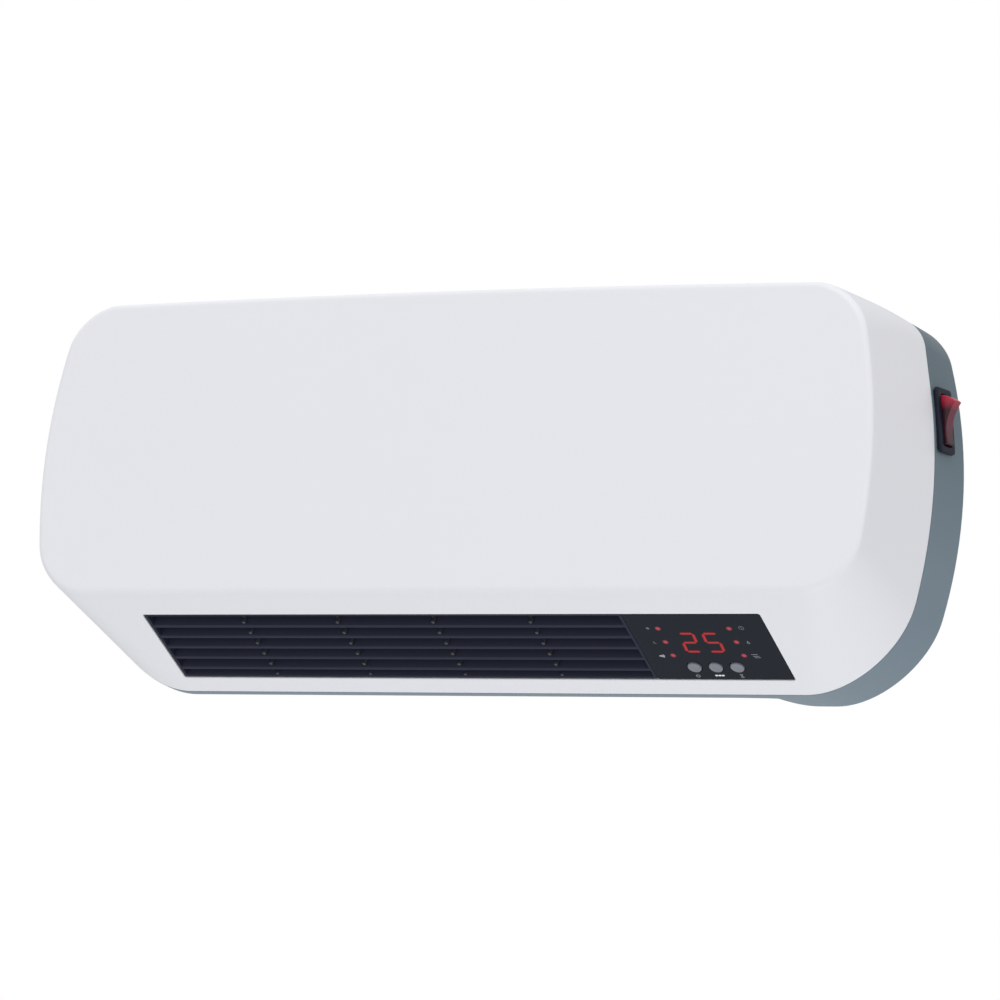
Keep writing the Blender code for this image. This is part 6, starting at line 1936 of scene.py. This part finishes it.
@dataclass
class CableEntry:
    """Rubber bush where the supply cable comes in through the back."""

    finish: Finish = Palette.RUBBER
    centre: Triple = (0.1500, 0.0, -0.0380)
    bore: float = 0.0040
    radius: float = 0.0055
    flange: float = 0.0078
    thickness: float = 0.0014
    seat: float = -0.0023
    inner: float = -0.0054

    def bead(self, start: float, end: float) -> list[Point]:
        """Return the (radius, depth) points of a flange's round edge between two depths."""
        middle, half, soft = (start + end) / 2, (start - end) / 2, self.thickness / 2
        return [(self.flange - soft + soft * cos(angle), middle + half * sin(angle))
                for angle in [pi / 2 - pi * step / 10 for step in range(11)]]

    def build(self) -> None:
        """Turn the bush, with rounded flanges and a flared bore."""
        outer, last = self.seat + self.thickness, self.inner - self.thickness
        bush = Shape().turned([(self.bore, outer - 0.0006), (self.bore + 0.0002, outer - 0.0002),
                               (self.bore + 0.0006, outer), *self.bead(outer, self.seat),
                               (self.radius, self.seat), (self.radius, self.inner),
                               *self.bead(self.inner, last), (self.bore, last)], self.centre, Axis.Y, 56)
        seat(bush.made("rubber_bush", self.finish), "cable_bush")


# --- air path
@dataclass
class HeatingElements:
    """Two ceramic heaters: a flat core between folded fin strips and their cover strips."""

    finish: Finish = Palette.ALUMINIUM
    left: float = -0.1560
    right: float = 0.0885
    top: float = -0.0225
    bottom: float = -0.0375
    width: float = 0.0200
    core: float = 0.0050
    sheet: float = 0.0004
    ys: Point = (-0.0707, -0.0497)
    fold_pitch: float = 0.00122
    fin_thickness: float = 0.00025
    fin_room: float = 0.0003
    fin_inset: float = 0.0005

    def build(self) -> None:
        """Build each element from its core, two fin strips and two cover strips."""
        middle = (self.top + self.bottom) / 2
        fin = (self.top - self.bottom - self.core) / 2 - self.sheet
        folds = int((self.right - self.left) / self.fold_pitch)
        for name, y in zip(("front", "rear"), self.ys):
            low, high = (self.left, y - self.width / 2), (self.right, y + self.width / 2)
            body = Shape().plate(low, high, 0.0006, pillow(middle - self.core / 2, middle + self.core / 2, 0.0005), 3)
            for level in (self.bottom, self.top - self.sheet):
                body.plate(low, high, 0.0003, [(0.0, level), (0.0, level + self.sheet)], 2)
            pieces = [body.made(f"element_{name}", self.finish)]
            for level in (self.bottom + self.sheet, middle + self.core / 2):
                pieces.append(repeat(fins_tree(), f"fins_{name}", self.finish,
                                     {"Folds": folds, "Pitch": self.fold_pitch, "Height": fin - self.fin_room,
                                      "Width": self.width - 2 * self.fin_inset, "Thickness": self.fin_thickness},
                                     shift(self.left + 0.0004, y, level + self.fin_room / 2)))
            seat(merge(pieces, f"element_{name}"), f"heating_element_{name}")


@dataclass
class FanImpeller:
    """Cross-flow impeller: curved blades between discs."""

    finish: Finish = Palette.BLACK
    centre: Triple = (0.0, -0.050, 0.024)
    left: float = -0.1600
    right: float = 0.0920
    radius: float = 0.0250
    blade_root: float = 0.0190
    blades: int = 36
    blade_thickness: float = 0.0008
    sweep: float = radians(16)
    discs: int = 4
    disc_thickness: float = 0.0020
    disc_bore: float = 0.0165
    disc_overhang: float = 0.0004
    hub: Point = (0.0075, 0.0100)
    shaft_bore: float = 0.0033

    def blade(self) -> list[Point]:
        """Outline one blade in the plane across the shaft.

        Returns:
            Its (across, up) points.
        """
        leading, trailing = [], []
        for step in range(7):
            share = step / 6
            radius = self.blade_root + (self.radius - self.blade_root) * share
            sweep = self.sweep * share * share
            half = self.blade_thickness / 2 / radius
            leading.append((radius * cos(sweep + half), radius * sin(sweep + half)))
            trailing.append((radius * cos(sweep - half), radius * sin(sweep - half)))
        return leading + trailing[::-1]

    def build(self) -> None:
        """Build the blades, then the discs and hubs."""
        rim, place = self.radius + self.disc_overhang, shift(*self.centre)
        ends = (self.left + self.disc_thickness / 2, self.right - self.disc_thickness / 2)
        blade = Shape([[Vector((x, y, z)) for y, z in self.blade()] for x in ends])
        blades = repeat(wheel_tree(), blade.made("impeller_wheel", self.finish), self.finish,
                        {"Count": self.blades}, place)
        discs, last = Shape(), self.discs - 1
        span = self.right - self.left - self.disc_thickness
        bore, (wide, long) = self.shaft_bore, self.hub
        for index in range(self.discs):
            start = self.left + span * index / last
            end = start + self.disc_thickness
            ring = [(self.disc_bore, start), (rim, start), (rim, end), (self.disc_bore, end)]
            if index == 0:
                ring = [(bore, start), (rim, start), (rim, end), (wide, end), (wide, end + long), (bore, end + long)]
            elif index == last:
                ring = [(bore, start - long), (wide, start - long), (wide, start), (rim, start), (rim, end),
                        (bore, end)]
            discs.turned(ring, axis=Axis.X, sides=72)
        seat(merge([blades, discs.place(place).made("impeller_discs", self.finish)], "impeller_wheel"),
             "fan_impeller", body=Body.FAN)


class InnerParts:
    """The CAD pieces that keep their own shape."""

    def dress(self, nodes: dict[str, Piece]) -> None:
        """Give every CAD piece the finish of its slot.

        Args:
            nodes: the pieces by name.
        """
        slots = {name: node.data.materials[0].name for name, node in nodes.items()}
        for name, node in nodes.items():
            node.data.materials[0] = Palette.find(slot=slots[name]).material()
            LOG.info("%s: finished as %s", name, slots[name])


# --- studio
@dataclass(frozen=True)
class SoftLight:
    """A round soft light aimed at the heater."""

    name: str
    place: Triple
    size: float
    power: float
    colour: Colour = (1.0, 1.0, 1.0)


@dataclass
class Studio:
    """Pale floor, soft lights and the camera."""

    eye: Triple = (1.201253, -2.244008, -0.390371)
    turn: float = radians(28.5)
    rise: float = radians(9.01)
    roll: float = radians(4.12)
    lens: float = 191.3454
    sensor: float = 36.0
    sight: float = 30.0
    floor_z: float = -2.0
    floor_radius: float = 6.0
    floor_thickness: float = 0.02
    paper: Colour = (1.0, 1.0, 1.0)
    air_low: Colour = (0.0, 0.0, 0.0)
    air_high: Colour = (1.255, 1.255, 1.255)
    air_behind: Colour = (0.58, 0.58, 0.59)
    lights: tuple[SoftLight, ...] = (
        SoftLight("top_front", (0.0, -1.957, 1.712), 1.6, 12.7),
        SoftLight("right", (2.574, -0.257, -0.257), 1.6, 3.6),
        SoftLight("near_right", (2.265, -1.214, 0.395), 0.4, 1.6),
        SoftLight("under", (0.3, -0.4, -1.55), 1.6, 7.4, (0.92, 0.95, 1.0)))

    def camera(self) -> None:
        """Set up the camera."""
        data = bpy.data.cameras.new("studio_camera")
        data.lens, data.sensor_width, data.clip_end = self.lens, self.sensor, self.sight
        camera = linked(data.name, data)
        camera.matrix_world = (shift(*self.eye) @ turn(self.turn, Axis.Z)
                               @ turn(pi / 2 + self.rise, Axis.X)
                               @ turn(self.roll, Axis.Z))
        bpy.context.scene.camera = camera

    def air(self) -> None:
        """Surround the heater with soft light, plain white where the camera looks past it."""
        world = bpy.data.worlds.new("studio_air")
        world.use_nodes = True
        bpy.context.scene.world = world
        world.node_tree.nodes.clear()
        tree = Tree(world.node_tree)
        way = tree.add("ShaderNodeTexCoord").outputs["Generated"]
        around = tree.mix(tree.ramp(tree.part(way, Axis.Z), -1.0, 1.0), self.air_low, self.air_high)
        tone = tree.mix(tree.ramp(tree.part(way, Axis.Y), 0.0, 0.5), around, self.air_behind)
        light = tree.add("ShaderNodeBackground", {"Color": tone})
        plain = tree.add("ShaderNodeBackground", {"Color": self.paper})
        seen = tree.add("ShaderNodeLightPath").outputs["Is Camera Ray"]
        both = tree.add("ShaderNodeMixShader", {0: seen, 1: light, 2: plain})
        tree.add("ShaderNodeOutputWorld", {"Surface": both})

    def lamps(self) -> None:
        """Hang the soft lights, each aimed at the heater."""
        for light in self.lights:
            data = bpy.data.lights.new(f"{light.name}_light", "AREA")
            data.shape, data.size, data.energy, data.color = "DISK", light.size, light.power, light.colour
            lamp = linked(data.name, data)
            aim = (-Vector(light.place)).to_track_quat("-Z", "Y").to_matrix().to_4x4()
            lamp.matrix_world = shift(*light.place) @ aim

    def floor(self) -> None:
        """Lay the pale floor."""
        slab = Shape().rod(self.floor_radius, self.floor_z, self.floor_z - self.floor_thickness, axis=Axis.Z,
                           sides=96)
        slab.made("studio_floor", Palette.FLOOR)

    def build(self) -> None:
        """Set up camera, air, lights and floor."""
        self.camera()
        self.air()
        self.lamps()
        self.floor()
        bpy.context.scene.view_settings.view_transform = "Standard"


def main() -> None:
    """Build the heater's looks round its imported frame."""
    logging.basicConfig(level=logging.INFO, format="%(name)s: %(message)s")
    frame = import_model()
    InnerParts().dress(frame["nodes"])
    casing, opening, intake = Casing(), Opening(), Intake()
    panel = ControlPanel(casing, opening)
    assemblies = (FrontCover(casing, opening, intake), RearHousing(casing), IntakeGrille(casing, intake),
                  OutletGrille(casing, opening), panel, PushButtons(casing, panel), MainsSwitch(casing), WallMount(),
                  CoverScrews(casing), CableEntry(), HeatingElements(), FanImpeller(), Studio())
    for assembly in assemblies:
        LOG.info("building %s", type(assembly).__name__)
        assembly.build()


if __name__ == "__main__":
    main()
